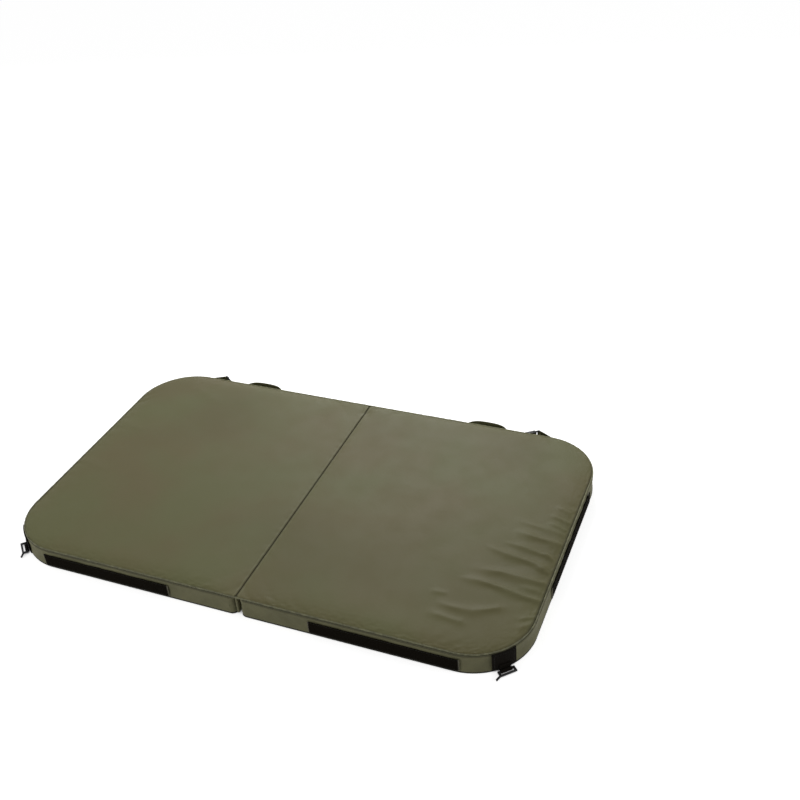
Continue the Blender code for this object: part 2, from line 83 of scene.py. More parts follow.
def edges_of(node):
    """Box of a CAD node as named edges; those of right_ nodes serve both halves."""
    low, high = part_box(node)
    return {
        "near": low.x, "far": high.x, "front": low.y, "back": high.y,
        "foot": low.z, "head": high.z,
    }


WALL = edges_of("right_side_band")
TOP_SEAM = edges_of("right_top_piping")
BASE_SEAM = edges_of("right_base_piping")
FRONT_TAPE = edges_of("right_front_strip")
END_TAPE = edges_of("right_side_strip")
CORNER_PATCH = edges_of("right_corner_band")
GRIP = edges_of("right_handle")
STRAP_PATCH = edges_of("right_strap_patch")
STRAP = edges_of("right_back_strap")
WEB = edges_of("fold_web")
MIDDLE_Y = (WALL["front"] + WALL["back"]) / 2
# The visible wall runs up to the middle of the rolled seam, so that no gap shows
WALL_HEAD = (TOP_SEAM["foot"] + TOP_SEAM["head"]) / 2
WALL_HEIGHT = WALL_HEAD - WALL["foot"]


def length(name, default, description):
    return bpy.props.FloatProperty(
        name=name, default=default, description=description, unit="LENGTH", precision=5
    )


def number(name, default, description):
    return bpy.props.FloatProperty(name=name, default=default, description=description)


def colour(name, red, green, blue, description):
    """Colour picked as 0 to 255 on screen, kept in Blender's linear values."""
    parts = [part / 255 for part in (red, green, blue)]
    linear = [part / 12.92 if part < 0.04045 else ((part + 0.055) / 1.055) ** 2.4 for part in parts]
    return bpy.props.FloatVectorProperty(
        name=name, default=linear, description=description, subtype="COLOR", min=0, max=1
    )


class MatSizes(bpy.types.PropertyGroup):
    """Sizes of the cover and its trimmings that the frame doesn't give."""

    corner_radius: length("Corner radius", 0.1095, "Outer corners of the mat seen from above")
    fold_corner_radius: length("Fold corner radius", 0.012, "Wall corners beside the fold")
    sheet_fold_radius: length("Sheet fold radius", 0.0082, "Top panel's corners at the fold")
    cell: length("Cell", 0.006, "Face size of the top and base panels")
    groove_inset: length("Groove inset", 0.0025, "Where the top panel dips under the rolled seam")
    groove_depth: length("Groove depth", 0.0014, "How far the top panel dips at the seam")
    groove_width: length("Groove width", 0.0011, "How soon the top panel leaves the groove")
    fold_gap: length("Fold gap", 0.0003, "From the fold to each top panel")
    roll_radius: length("Roll radius", 0.00125, "Half the thickness of the rolled seam")
    roll_shift: length("Roll shift", 0.0002, "How far the rolled seam leans outwards")
    fabric: length("Fabric", 0.0008, "Thickness of the cover fabric")
    crown: length("Crown", 0.0044, "Height that the foam gives the middle of a half")
    crown_reach: length("Crown reach", 0.022, "Distance from the seam over which it rises")
    fold_crown: length("Fold crown", 0.0008, "Height of the top panel right beside the fold")
    fold_slope: number("Fold slope", 0.03, "Rise of the top panel away from the fold")
    pucker: length("Pucker", 0.0016, "Height of the gathers that the seam pulls in")
    pucker_reach: length("Pucker reach", 0.012, "Distance that the gathers run inwards")
    dent: length("Dent", 0.0003, "Depth of the shallow dents in the top panel")
    ripple: length("Ripple", 0.0010, "Depth of the soft hollows in the side wall")
    crease: length("Crease", 0.0016, "Height of the slanted creases in the side wall")
    # The dark line beside a seam is painted shade
    seam_shade: length("Seam shade", 0.0015, "Width of the dark line beside a seam")
    stitch_share: number("Stitch share", 0.875, "Height of the sewn line in the wall's height")
    stitch_pitch: length("Stitch pitch", 0.0046, "From one stitch to the next")
    stitch_length: length("Stitch length", 0.0032, "One stitch")
    thread: length("Thread", 0.0006, "Thickness of the thread")
    tape_margin: length("Tape margin", 0.0016, "Bare edge of the hook and loop tape")
    pile: length("Pile", 0.0006, "Height of the pile on the tape")
    webbing: length("Webbing", 0.0013, "Thickness of the webbing")
    handle_bulge: length("Handle bulge", 0.0135, "How far the handle stands off the wall")
    handle_lead: length("Handle lead", 0.003, "Flat end of the handle")
    handle_fullness: number("Handle fullness", 4.5, "How square the handle's bow is")
    handle_arch: length("Handle arch", 0.004, "Rise of the handle in the middle of its bow")
    strap_curve: length("Strap curve", 0.018, "Stiffness of the back strap's bends")
    strap_eye: length("Strap eye", 0.0031, "Radius of the strap round the buckle's bar")
    strap_end: length("Strap end", 0.018, "Sewn end of the back strap")
    loop_radius: length("Loop radius", 0.0028, "Radius of the corner loop round the ring's bar")
    loop_tail: length("Loop tail", 0.012, "Sewn end of the corner loop")
    loop_width: length("Loop width", 0.020, "Width of the corner loop")
    pressure: number("Pressure", 4.0, "Pressure of the foam in the simulation")
    frames: bpy.props.IntProperty(
        name="Frames", default=20, description="Frames that the simulation runs for"
    )


class MatColours(bpy.types.PropertyGroup):
    """Colours of the mat's materials."""

    top: colour("Top", 101, 101, 69, "Coated fabric of the top panels")
    top_brown: colour("Top brown", 103, 97, 68, "Warmer patches of the top panels")
    top_dark: colour("Top dark", 87, 86, 56, "Darker patches of the top panels")
    wall: colour("Wall", 102, 100, 74, "Fabric of the side walls")
    # The roll's colour is also that of the painted highlights beside the fold and below the seam
    roll: colour("Roll", 110, 109, 80, "Rolled edge of the top seam")
    seam: colour("Seam", 34, 33, 22, "Shade inside the seams")
    base: colour("Base", 50, 50, 42, "Fabric under the mat")
    foam: colour("Foam", 178, 178, 172, "Foam slabs inside the cover")
    tape: colour("Tape", 12, 9, 5, "Hook and loop tape")
    tape_cut: colour("Tape cut", 128, 124, 108, "Cut ends of the tape")
    black_webbing: colour("Black webbing", 14, 11, 7, "Webbing at the front corners")
    olive_webbing: colour("Olive webbing", 93, 93, 64, "Handles and back straps")
    plastic: colour("Plastic", 24, 24, 24, "Rings and buckles")
    thread: colour("Thread", 62, 61, 44, "Thread of the cover's seams")
    floor: colour("Floor", 206, 206, 206, "Floor under the mat, as it lights the mat")


def sizes():
    return bpy.context.scene.mat_sizes


def colours():
    return bpy.context.scene.mat_colours


# Shared ways of making a mesh


def focus(piece):
    """Selects one piece alone, as a modifier or an edit needs."""
    bpy.ops.object.select_all(action="DESELECT")
    piece.select_set(True)
    bpy.context.view_layer.objects.active = piece


def edit(piece, step, **settings):
    """Runs an edit-mode step on the whole of a piece."""
    focus(piece)
    bpy.ops.object.mode_set(mode="EDIT")
    bpy.ops.mesh.select_all(action="SELECT")
    step(**settings)
    bpy.ops.object.mode_set(mode="OBJECT")


def weld(piece):
    edit(piece, bpy.ops.mesh.remove_doubles, threshold=SAME_POINT)


def apply(piece, kind, **settings):
    """Adds a modifier with these settings and applies it."""
    focus(piece)
    modifier = piece.modifiers.new(kind.title(), kind)
    for setting, value in settings.items():
        setattr(modifier, setting, value)
    bpy.ops.object.modifier_apply(modifier=modifier.name)


def subdivide(piece):
    apply(piece, "SUBSURF", levels=1, render_levels=1)


def smooth(piece, degrees):
    focus(piece)
    bpy.ops.object.shade_smooth_by_angle(angle=math.radians(degrees))


def thicken(piece, thickness, offset, degrees=50):
    """Gives a sheet its thickness, out of its face at 1 and into it at -1, and smooths it."""
    apply(piece, "SOLIDIFY", thickness=thickness, offset=offset, use_even_offset=True)
    smooth(piece, degrees)


def settle(piece, finish, slot, body, *nodes):
    """Gives a finished piece its material and its place in the frame."""
    piece.data.materials.clear()
    piece.data.materials.append(finishes()[finish])
    if nodes:
        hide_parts(*nodes)
    if body:
        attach(piece, body)


def even(count):
    """Shares from 0 to 1 in equal steps."""
    return [step / count for step in range(count + 1)]


def direction(angle):
    """Level direction at an angle from the X axis."""
    return Vector((math.cos(angle), math.sin(angle), 0))


def surface(name, across, up, place, cloth, side=1):
    """Sheet of faces between lines at the shares across and up.

    place(u, v) gives each crossing's point. The UVs are metres of the cloth's size.
    """
    bpy.ops.object.select_all(action="DESELECT")
    last_u, last_v = len(across) - 1, len(up) - 1
    bpy.ops.mesh.primitive_grid_add(x_subdivisions=last_u, y_subdivisions=last_v, size=1)
    piece = bpy.context.object
    piece.name = piece.data.name = name
    for vertex in piece.data.vertices:
        u = across[round((vertex.co.x + 0.5) * last_u)]
        v = up[round((vertex.co.y + 0.5) * last_v)]
        x, y, z = place(u, v)
        vertex.co = (side * x, y, z)
    for corner in piece.data.uv_layers.active.data:
        u = across[round(corner.uv[0] * last_u)]
        v = up[round(corner.uv[1] * last_v)]
        corner.uv = (u * cloth[0], v * cloth[1])
    if side < 0:
        edit(piece, bpy.ops.mesh.flip_normals)
    return piece


class Route:
    """Line through close points, read by the share of its length."""

    def __init__(self, points):
        self.points = np.array([tuple(point) for point in points], float)
        steps = np.linalg.norm(np.diff(self.points, axis=0), axis=1)
        self.reach = np.concatenate(([0], np.cumsum(steps)))
        self.length = float(self.reach[-1])

    def at(self, share):
        spot = share * self.length
        return Vector([np.interp(spot, self.reach, self.points[:, axis]) for axis in range(3)])


class Outline:
    """Edge of the right half seen from above, anticlockwise from the front of the fold."""

    def __init__(self):
        outer, inner = sizes().corner_radius, sizes().fold_corner_radius
        near, far, front, back = (WALL[edge] for edge in ("near", "far", "front", "back"))
        long_run = far - outer - near - inner
        # Each corner's centre, radius and first angle, and the straight run before it
        self.corners = (
            (Vector((far - outer, front + outer, 0)), outer, -QUARTER, long_run),
            (Vector((far - outer, back - outer, 0)), outer, 0, back - front - 2 * outer),
            (Vector((near + inner, back - inner, 0)), inner, QUARTER, long_run),
            (Vector((near + inner, front + inner, 0)), inner, 2 * QUARTER, back - front - 2 * inner),
        )
        self.length = sum(radius * QUARTER + run for _, radius, _, run in self.corners)

    def at(self, distance):
        """Point and outward direction at a distance along the edge."""
        distance %= self.length
        for centre, radius, start, run in self.corners:
            along = distance - run
            if along <= radius * QUARTER:
                turn = start + max(along, 0) / radius
                out = direction(turn)
                walk = Vector((-out.y, out.x, 0))
                return centre + radius * out + min(along, 0) * walk, out
            distance = along - radius * QUARTER
        raise ValueError("the distance lies past the outline's end")

    def off(self, distance, stand, z):
        """Point at a height that stands off the edge, and the outward direction there."""
        point, out = self.at(distance)
        return Vector((*(point + stand * out).xy, z)), out

    def points(self, end, step, inset, z):
        """Points inside the edge, in steps from its start to a distance along it."""
        return [self.off(share * end, -inset, z)[0] for share in even(round(end / step))]

    def corner_start(self, index):
        """Distance at which one of the four corners begins."""
        before = sum(radius * QUARTER + run for _, radius, _, run in self.corners[:index])
        return before + self.corners[index][3]


def ribbon(name, route, low, high, cells, side=1):
    """Upright webbing along a route, between two heights."""
    def place(u, v):
        point = route.at(u)
        return point.x, point.y, low + v * (high - low)

    return surface(name, even(cells[0]), even(cells[1]), place, (route.length, high - low), side)


def moulded(node, name, edge):
    """Copy of a CAD node's mesh with merged points, whole faces and rounded edges."""
    piece = bpy.data.objects.new(name, frame["nodes"][node].data.copy())
    bpy.context.scene.collection.objects.link(piece)
    weld(piece)
    edit(piece, bpy.ops.mesh.dissolve_limited, angle_limit=math.radians(2))
    apply(piece, "BEVEL", width=edge, segments=3, limit_method="ANGLE", harden_normals=False)
    smooth(piece, 35)
    return piece


# Stitches


def stitch_pattern():
    """One stitch along X: a short rounded bead of thread."""
    bpy.ops.object.select_all(action="DESELECT")
    bpy.ops.mesh.primitive_uv_sphere_add(segments=6, ring_count=4, radius=0.5)
    bead = bpy.context.object
    edit(bead, bpy.ops.transform.rotate, value=QUARTER, orient_axis="Y", center_override=ORIGIN)
    shape = (sizes().stitch_length, sizes().thread, sizes().thread)
    edit(bead, bpy.ops.transform.resize, value=shape, center_override=ORIGIN)
    return bead


def standing(point, along, out, side):
    """Matrix that lays a stitch at a point, along one direction and out of the cloth."""
    along, out = along.normalized(), out.normalized()
    over = out.cross(along)
    matrix = Matrix((along, over, out)).transposed().to_4x4()
    matrix.translation = point
    if side < 0:
        mirror = Matrix.Diagonal((-1, 1, 1, 1))
        matrix = mirror @ matrix @ mirror
    return matrix


def copies(name, pattern, places):
    """One mesh of a small pattern object set down at each matrix; the pattern is removed."""
    points = np.array([tuple(vertex.co) for vertex in pattern.data.vertices])
    faces = [tuple(face.vertices) for face in pattern.data.polygons]
    bpy.data.objects.remove(pattern, do_unlink=True)
    vertices, polygons = [], []
    for matrix in places:
        start = len(vertices)
        turned = points @ np.array(matrix.to_3x3()).T + np.array(matrix.translation)
        vertices.extend(turned.tolist())
        polygons.extend(tuple(start + corner for corner in face) for face in faces)
    mesh = bpy.data.meshes.new(name)
    mesh.from_pydata(vertices, [], polygons)
    piece = bpy.data.objects.new(name, mesh)
    bpy.context.scene.collection.objects.link(piece)
    focus(piece)
    bpy.ops.object.shade_smooth()
    return piece


def sewn_line(spot, start, end):
    """Stitch places from start to end, in metres along spot(distance): point and outward."""
    count = max(1, round((end - start) / sizes().stitch_pitch))
    step = (end - start) / count
    places = []
    for index in range(count):
        middle = start + (index + 0.5) * step
        point, out = spot(middle)
        ahead = spot(middle + step / 4)[0] - spot(middle - step / 4)[0]
        places.append((point, ahead, out))
    return places


def straight_line(spot, start, end):
    """Stitch places straight from one point to another of a patch."""
    reach = math.dist(start, end)

    def along(distance):
        share = distance / reach
        return spot(*(first + share * (last - first) for first, last in zip(start, end)))

    return sewn_line(along, 0, reach)


def sew(name, places, thread, side):
    """Row of stitches as one piece on its half."""
    matrices = [standing(point, along, out, side) for point, along, out in places]
    body = "left_half" if side < 0 else "right_half"
    settle(copies(name, stitch_pattern(), matrices), thread, None, body)


def sew_round(name, spot, patch, margin, thread, side, cross=False):
    """Stitches round a patch on spot(u, v) metres, with a cross in them if asked."""
    left, right, low, high = margin, patch[0] - margin, margin, patch[1] - margin
    corners = ((left, low), (right, low), (right, high), (left, high))
    lines = [(0, 1), (1, 2), (2, 3), (3, 0)]
    if cross:
        lines += [(0, 2), (3, 1)]
    places = []
    for start, end in lines:
        places += straight_line(spot, corners[start], corners[end])
    sew(name, places, thread, side)


# Patches on a wall


class WallPatch:
    """Rectangle on a wall, from a start along the outline and from its foot to its head."""

    def __init__(self, outline, start, run, low, high):
        self.outline, self.start, self.low = outline, start, low
        self.size = (run, high - low)

    def cover(self, name, side, cells, stand, thickness, offset=1):
        """Sheet with these faces along and up, off the wall by stand(u, v) at u and v metres."""
        run, height = self.size

        def place(u, v):
            u, v = u * run, v * height
            return self.outline.off(self.start + u, stand(u, v), self.low + v)[0]

        sheet = surface(name, even(cells[0]), even(cells[1]), place, self.size, side)
        thicken(sheet, thickness, offset)
        return sheet

    def sew_round(self, name, side, stand, margin, thread, cross=False):
        """Stitches round the patch, with their middles off the wall by stand."""
        def spot(u, v):
            return self.outline.off(self.start + u, stand, self.low + v)

        sew_round(name, spot, self.size, margin, thread, side, cross)


# Materials


class Nodes:
    """Node tree in the making."""

    def __init__(self, tree):
        self.tree = tree

    def node(self, kind, output=0, settings=None, **inputs):
        """New node whose inputs are values or other nodes' outputs; gives its output."""
        made = self.tree.nodes.new("ShaderNode" + kind)
        for setting, value in (settings or {}).items():
            setattr(made, setting, value)
        for socket, value in inputs.items():
            key = int(socket[1:]) if socket[1:].isdigit() else socket.replace("_", " ")
            if isinstance(value, bpy.types.NodeSocket):
                self.tree.links.new(value, made.inputs[key])
            else:
                made.inputs[key].default_value = value
        return made.outputs[output]

    def math(self, operation, value, *others):
        """Result of a math node, or of a chain of them that takes in the others in turn."""
        settings = {"operation": operation}
        if not others:
            return self.node("Math", settings=settings, n0=value)
        for other in others:
            value = self.node("Math", settings=settings, n0=value, n1=other)
        return value

    def spread(self, value, low, high, first=0.0, last=1.0):
        """Value stretched so that low gives first and high gives last, and held between them."""
        return self.node(
            "MapRange", Value=value, From_Min=low, From_Max=high, To_Min=first, To_Max=last)

    def white_rays(self):
        """1 for the rays that see a white studio: from the camera, off gloss, through glass."""
        paths = self.node("LightPath").node.outputs
        seen = [paths[f"Is {ray} Ray"] for ray in ("Camera", "Glossy", "Transmission")]
        return self.math("MAXIMUM", *seen)

    def end_at(self, output, value):
        """Links the tree's last value to its output node."""
        self.tree.links.new(value, self.tree.nodes[output].inputs["Surface"])


class Finish(Nodes):
    """Node material in the making."""

    # Spacing of a wave texture's bands at a scale of 1
    BAND = math.pi / 10

    def __init__(self, name, roughness, **constants):
        self.material = bpy.data.materials.new(name)
        self.material.use_nodes = True
        super().__init__(self.material.node_tree)
        self.shader = self.tree.nodes["Principled BSDF"]
        self.shader.inputs["Roughness"].default_value = roughness
        for socket, value in constants.items():
            self.shader.inputs[socket.replace("_", " ")].default_value = value
        self.place = self.tree.nodes.new("ShaderNodeTexCoord").outputs

    def blend(self, share, first, second):
        """Colour between two, by a share."""
        settings = {"data_type": "RGBA"}
        return self.node("Mix", 2, settings, n0=share, n6=first, n7=second)

    def mottle(self, share, tone, dark, light):
        """One colour between a darker and a lighter shade of it, by a share."""
        return self.blend(share, shade(tone, dark), shade(tone, light))

    def cloud(self, scale, detail=3.0, low=0.35, high=0.65, first=0.0, last=1.0):
        """Soft noise stretched so that low gives first and high gives last."""
        value = self.node("TexNoise", Vector=self.place["Object"], Scale=scale, Detail=detail)
        return self.spread(value, low, high, first, last)

    def weave(self, pitch, where):
        """Height of a plain weave whose threads are one pitch apart."""
        vector = self.place[where]
        bands = {}
        for axis in ("X", "Y"):
            settings = {"wave_type": "BANDS", "bands_direction": axis}
            bands[axis] = self.node("TexWave", 1, settings, Vector=vector, Scale=self.BAND / pitch)
        checks = self.node("TexChecker", 1, Vector=vector, Scale=1 / pitch)
        return self.node("Mix", 0, n0=checks, n2=bands["X"], n3=bands["Y"])

    def cloth_place(self):
        """The two UV coordinates, in metres of cloth."""
        parts = self.node("SeparateXYZ", Vector=self.place["UV"]).node.outputs
        return parts[0], parts[1]

    def line(self, value, middle, reach, strength=1.0):
        """Strength where a value is at the middle of a line, falling to 0 at its reach."""
        off = self.math("ABSOLUTE", self.math("SUBTRACT", value, middle))
        return self.spread(off, 0.0, reach, strength, 0.0)

    def chevrons(self, rib, width):
        """Height of webbing: ribs along U that turn back at each width across V."""
        u, v = self.cloth_place()
        slant = self.math("PINGPONG", v, width)
        turn = self.math("MULTIPLY", self.math("ADD", u, slant), 2 * math.pi / rib)
        return self.spread(self.math("SINE", turn), -1.0, 1.0)

    def colour(self, value):
        self.tree.links.new(value, self.shader.inputs["Base Color"])

    def rough(self, value):
        self.tree.links.new(value, self.shader.inputs["Roughness"])

    def relief(self, *layers):
        """Bump of several layers, each a height, a distance in metres and a strength."""
        inputs = {}
        for height, distance, strength in layers:
            normal = self.node("Bump", Height=height, Distance=distance, Strength=strength, **inputs)
            inputs = {"Normal": normal}
        self.tree.links.new(normal, self.shader.inputs["Normal"])


def shade(value, share=1.0):
    """Opaque colour made darker or lighter by a share."""
    return (*[min(1.0, part * share) for part in value], 1.0)


# Lines of painted shade and painted highlight that the fabrics draw beside an edge, and the tape's
# pale cut ends: the middle's distance from it, reach and strength
END_SHADE = (0.0, 0.0050, 0.90)
FOLD_SHADE = (0.0, 0.0024, 0.85)
FOLD_HIGHLIGHT = (0.0040, 0.0019, 0.75)
WALL_SHADE = (0.0014, 0.0019, 0.95)
WALL_HIGHLIGHT = (0.0036, 0.0012, 1.0)
TAPE_CUT = (0.0, 0.0026, 1.0)
# Painted shade along the wall's sewn line: reach and strength
SEWN_SHADE = (0.0016, 0.85)
# Pitch of the threads in the fine cloth and the base, and of the webbing's ribs and turns
FINE_THREAD, BASE_THREAD, RIB, RIB_TURN = 0.0006, 0.0014, 0.0018, 0.0042


def top_fabric():
    """Smooth coated fabric in olive tints, with painted shade where it dips into its seams and a
    painted highlight beside the fold.
    """
    finish = Finish("olive_top_fabric", 0.55, Specular_IOR_Level=0.15)
    tones = colours()
    warm = finish.blend(finish.cloud(6.5, 2.0), shade(tones.top), shade(tones.top_brown))
    dark = finish.cloud(3.1, 1.0, low=0.5, high=0.78, last=0.55)
    cloth = finish.blend(dark, warm, shade(tones.top_dark))
    width, depth = panel_size()
    from_fold, from_front = finish.cloth_place()
    from_end = finish.math("SUBTRACT", width, from_fold)
    from_corner = finish.math("MINIMUM", from_front, finish.math("SUBTRACT", depth, from_front))
    from_edge = finish.math("MINIMUM", from_fold, from_end, from_corner)
    past_corner = finish.spread(from_corner, 0.0, sizes().corner_radius)
    # Painted highlight: a pale line in the roll's colour a little way from the fold, where its rounded
    # edge would catch the light
    cloth = finish.blend(finish.line(from_fold, *FOLD_HIGHLIGHT), cloth, shade(tones.roll))
    # Painted shade: the cloth turns towards the seam's shade colour along all its edges, most at the
    # outer end and beside the fold
    dip = finish.math(
        "MAXIMUM", finish.line(from_edge, 0.0, sizes().seam_shade, 0.15),
        finish.math("MULTIPLY", finish.line(from_end, *END_SHADE), past_corner),
        finish.line(from_fold, *FOLD_SHADE))
    finish.colour(finish.blend(dip, cloth, shade(tones.seam)))
    finish.rough(finish.cloud(24, 3.0, first=0.53, last=0.58))
    finish.relief(
        (finish.weave(FINE_THREAD, "Object"), 0.00006, 0.5),
        (finish.cloud(210, 5.0), 0.00008, 0.25),
    )
    return finish.material


def roll_fabric():
    """Top fabric where the seam rolls it, with pale patches of painted highlight, and paler still
    towards the back as painted light.
    """
    finish = Finish("rolled_seam_fabric", 0.6, Specular_IOR_Level=0.3)
    tone = colours().roll
    # Painted highlights in patches, as on the roll's puckers
    highlight_patches = finish.cloud(95, 4.0, low=0.45, high=0.70)
    # Painted light: paler towards the back, where the light falls on the roll
    place = finish.node("SeparateXYZ", Vector=finish.place["Object"]).node.outputs["Y"]
    to_back = finish.spread(place, WALL["front"], WALL["back"])
    front, back = finish.mottle(highlight_patches, tone, 0.60, 1.15), finish.mottle(highlight_patches, tone, 1.20, 1.80)
    finish.colour(finish.blend(to_back, front, back))
    finish.relief((finish.cloud(420, 4.0), 0.0002, 0.6))
    return finish.material


def wall_fabric():
    """The same fabric on the walls, with painted shade in the seam and along the sewn line, and a
    painted highlight just below the seam.
    """
    finish = Finish("olive_wall_fabric", 0.68, Specular_IOR_Level=0.2)
    tones = colours()
    up = finish.cloth_place()[1]
    below_head = finish.math("SUBTRACT", WALL_HEIGHT, up)
    cloth = finish.mottle(finish.cloud(22, 3.0), tones.wall, 0.88, 1.12)
    # Painted highlight: a pale line in the roll's colour just below the seam, where a ridge would
    # catch the light
    cloth = finish.blend(finish.line(below_head, *WALL_HIGHLIGHT), cloth, shade(tones.roll))
    # Painted shade: the seam's shade colour just under the rolled seam and along the sewn line
    dip = finish.math(
        "MAXIMUM", finish.line(below_head, *WALL_SHADE),
        finish.line(up, sizes().stitch_share * WALL_HEIGHT, *SEWN_SHADE))
    finish.colour(finish.blend(dip, cloth, shade(tones.seam)))
    finish.relief(
        (finish.weave(FINE_THREAD, "UV"), 0.00008, 0.6),
        (finish.cloud(140, 4.0), 0.00015, 0.5),
    )
    return finish.material


def base_fabric():
    """Coarse coated fabric under the mat, scuffed a little paler."""
    finish = Finish("base_fabric", 0.78, Specular_IOR_Level=0.25)
    finish.colour(finish.mottle(finish.cloud(34, 6.0), colours().base, 0.82, 1.25))
    finish.relief(
        (finish.weave(BASE_THREAD, "Object"), 0.00025, 0.8),
        (finish.cloud(60), 0.0002, 0.4),
    )
    return finish.material


def foam_finish():
    """Closed-cell foam."""
    finish = Finish("foam", 0.95)
    cells = finish.node("TexVoronoi", Vector=finish.place["Object"], Scale=900.0)
    finish.colour(finish.mottle(cells, colours().foam, 0.8, 1.1))
    finish.relief((cells, 0.0004, 0.7))
    return finish.material


def tape_finish():
    """Matt pile of hook and loop tape, with pale cut ends."""
    finish = Finish("hook_and_loop", 0.96, Specular_IOR_Level=0.04)
    loops = finish.node("TexVoronoi", Vector=finish.place["Object"], Scale=1100.0)
    fuzz = finish.cloud(900, 3.0)
    pile = finish.mottle(fuzz, colours().tape, 0.6, 1.9)
    along = finish.cloth_place()[0]
    to_end = finish.math("SUBTRACT", FRONT_TAPE["far"] - FRONT_TAPE["near"], along)
    cut = finish.math("MAXIMUM", finish.line(along, *TAPE_CUT), finish.line(to_end, *TAPE_CUT))
    finish.colour(finish.blend(cut, pile, shade(colours().tape_cut)))
    finish.relief((loops, 0.0005, 0.8), (fuzz, 0.0003, 0.6))
    return finish.material


def webbing_finish(name, tone, contrast):
    """Woven webbing: slanted ribs that turn back across its width."""
    finish = Finish(name, 0.85, Specular_IOR_Level=0.06)
    ribs = finish.chevrons(RIB, RIB_TURN)
    fibre = finish.mottle(ribs, tone, 1 - contrast, 1 + contrast)
    worn = finish.cloud(70, 4.0, last=0.35)
    finish.colour(finish.blend(worn, fibre, shade(tone, 1.35)))
    finish.relief((ribs, 0.00035, 0.8), (finish.cloud(2200, 2.0), 0.0001, 0.5))
    return finish.material


def plastic_finish():
    """Moulded satin plastic with a fine grain and paler worn spots."""
    finish = Finish("black_plastic", 0.55, Specular_IOR_Level=0.25)
    finish.colour(finish.mottle(finish.cloud(260, 5.0), colours().plastic, 0.8, 1.5))
    finish.rough(finish.cloud(420, 4.0, first=0.48, last=0.62))
    finish.relief((finish.cloud(1600, 3.0), 0.00005, 0.4))
    return finish.material


def thread_finish(name, tone):
    """Twisted thread."""
    finish = Finish(name, 0.7, Specular_IOR_Level=0.3)
    slanted = {"bands_direction": "DIAGONAL"}
    twist = finish.node("TexWave", 1, slanted, Vector=finish.place["Object"], Scale=700.0)
    finish.colour(finish.mottle(twist, tone, 0.75, 1.3))
    finish.relief((twist, 0.0001, 0.6))
    return finish.material


FINISHES = {}


def finishes():
    """All materials of the mat by name, made the first time they are asked for."""
    if not FINISHES:
        tones = colours()
        FINISHES.update(
            top_fabric=top_fabric(),
            roll_fabric=roll_fabric(),
            wall_fabric=wall_fabric(),
            base_fabric=base_fabric(),
            foam=foam_finish(),
            hook_and_loop=tape_finish(),
            black_webbing=webbing_finish("black_webbing", tones.black_webbing, 0.35),
            olive_webbing=webbing_finish("olive_webbing", tones.olive_webbing, 0.25),
            black_plastic=plastic_finish(),
            olive_thread=thread_finish("olive_thread", tones.thread),
            black_thread=thread_finish("black_thread", tones.black_webbing),
        )
    return FINISHES


# Cover

# Turns per metre of the noise behind each unevenness. A multiple of side in its last
# coordinate is a seed, so that the halves differ.
GATHERS, DENTS, HOLLOWS, SLANTS, DIMPLES = 62, 14, 26, 34, 30
# How narrow the ridges are that the noise gives
GATHER_SHARPNESS, CREASE_SHARPNESS = 3, 4
# How far the panel lies below the rolled seam's top, and how soon its folds rise at the seam
PANEL_DROP, FOLD_RISE = 0.0007, 0.0025
# Lines of faces that a panel has close to its edges
TOP_INSETS = (0, 0.0007, 0.0018, 0.0038, 0.0072, 0.012)
BASE_INSETS = (0.0034, 0.0045, 0.007, 0.012)
# How far the base panel turns up at its seam and over what distance, and its dimples' depth
BASE_TURN, BASE_TURN_REACH, BASE_DIMPLE = 0.0009, 0.001, 0.0003
# Where the gathers begin beside the fold, and the distance over which they grow
GATHER_START, GATHER_GROWTH = 0.004, 0.05
# The rounding of the foam's edges, and how much smaller it is than its node all round
FOAM_EDGE, FOAM_INSET = 0.0015, 0.0016
# Settings of the cloth that the foam rounds
CLOTH = {
    "quality": 5, "mass": 0.25, "tension_stiffness": 14, "compression_stiffness": 14,
    "shear_stiffness": 6, "bending_stiffness": 0.6, "shrink_min": -0.006, "use_pressure": True,
}


def panel_near():
    """Where the top panel's flat outline starts at the fold, before its groove."""
    return sizes().fold_gap - sizes().groove_inset


def panel_size():
    """Width and depth of the top panel between its grooves."""
    dip = 2 * sizes().groove_inset
    return WALL["far"] - panel_near() - dip, WALL["back"] - WALL["front"] - dip


def panel_lines(start, end, insets, cell):
    """Line positions between two edges: close to each edge as asked, then even cells."""
    inner_start, inner_end = start + insets[-1], end - insets[-1]
    count = max(2, round((inner_end - inner_start) / cell))
    middle = [inner_start + (inner_end - inner_start) * step / count for step in range(count + 1)]
    first = [start + inset for inset in insets[:-1]]
    return first + middle + [end - inset for inset in reversed(insets[:-1])]


def round_corners(x, y, near, inner):
    """Moves a point of the square-cornered half so that rings round a corner are arcs."""
    outer = sizes().corner_radius
    back = WALL["back"] - MIDDLE_Y
    for centre, radius, way in ((WALL["far"] - outer, outer, 1), (near + inner, inner, -1)):
        end = 1 if y > MIDDLE_Y else -1
        over = way * (x - centre) / radius
        past = (end * (y - MIDDLE_Y) - (back - radius)) / radius
        if over > 0 and past > 0:
            ring = max(over, past)
            turn = past / over / 2 if over >= past else 1 - over / past / 2
            angle = turn * QUARTER
            x = centre + way * radius * ring * math.cos(angle)
            y = MIDDLE_Y + end * (back - radius + radius * ring * math.sin(angle))
            return x, y
    return x, y


def nearest_edge(x, y):
    """Distance to the outer edge of the half, and the edge point it is measured to."""
    outer = sizes().corner_radius
    far, front, back = WALL["far"], WALL["front"], WALL["back"]
    end = 1 if y > MIDDLE_Y else -1
    centre = Vector((far - outer, (back if end > 0 else front) - end * outer))
    spot = Vector((x, y))
    away = spot - centre
    if away.x > 0 and end * away.y > 0:
        return outer - away.length, centre + outer * away.normalized()
    side_edge = back if end > 0 else front
    if far - x < abs(side_edge - y):
        return far - x, Vector((far, y))
    return abs(side_edge - y), Vector((x, side_edge))


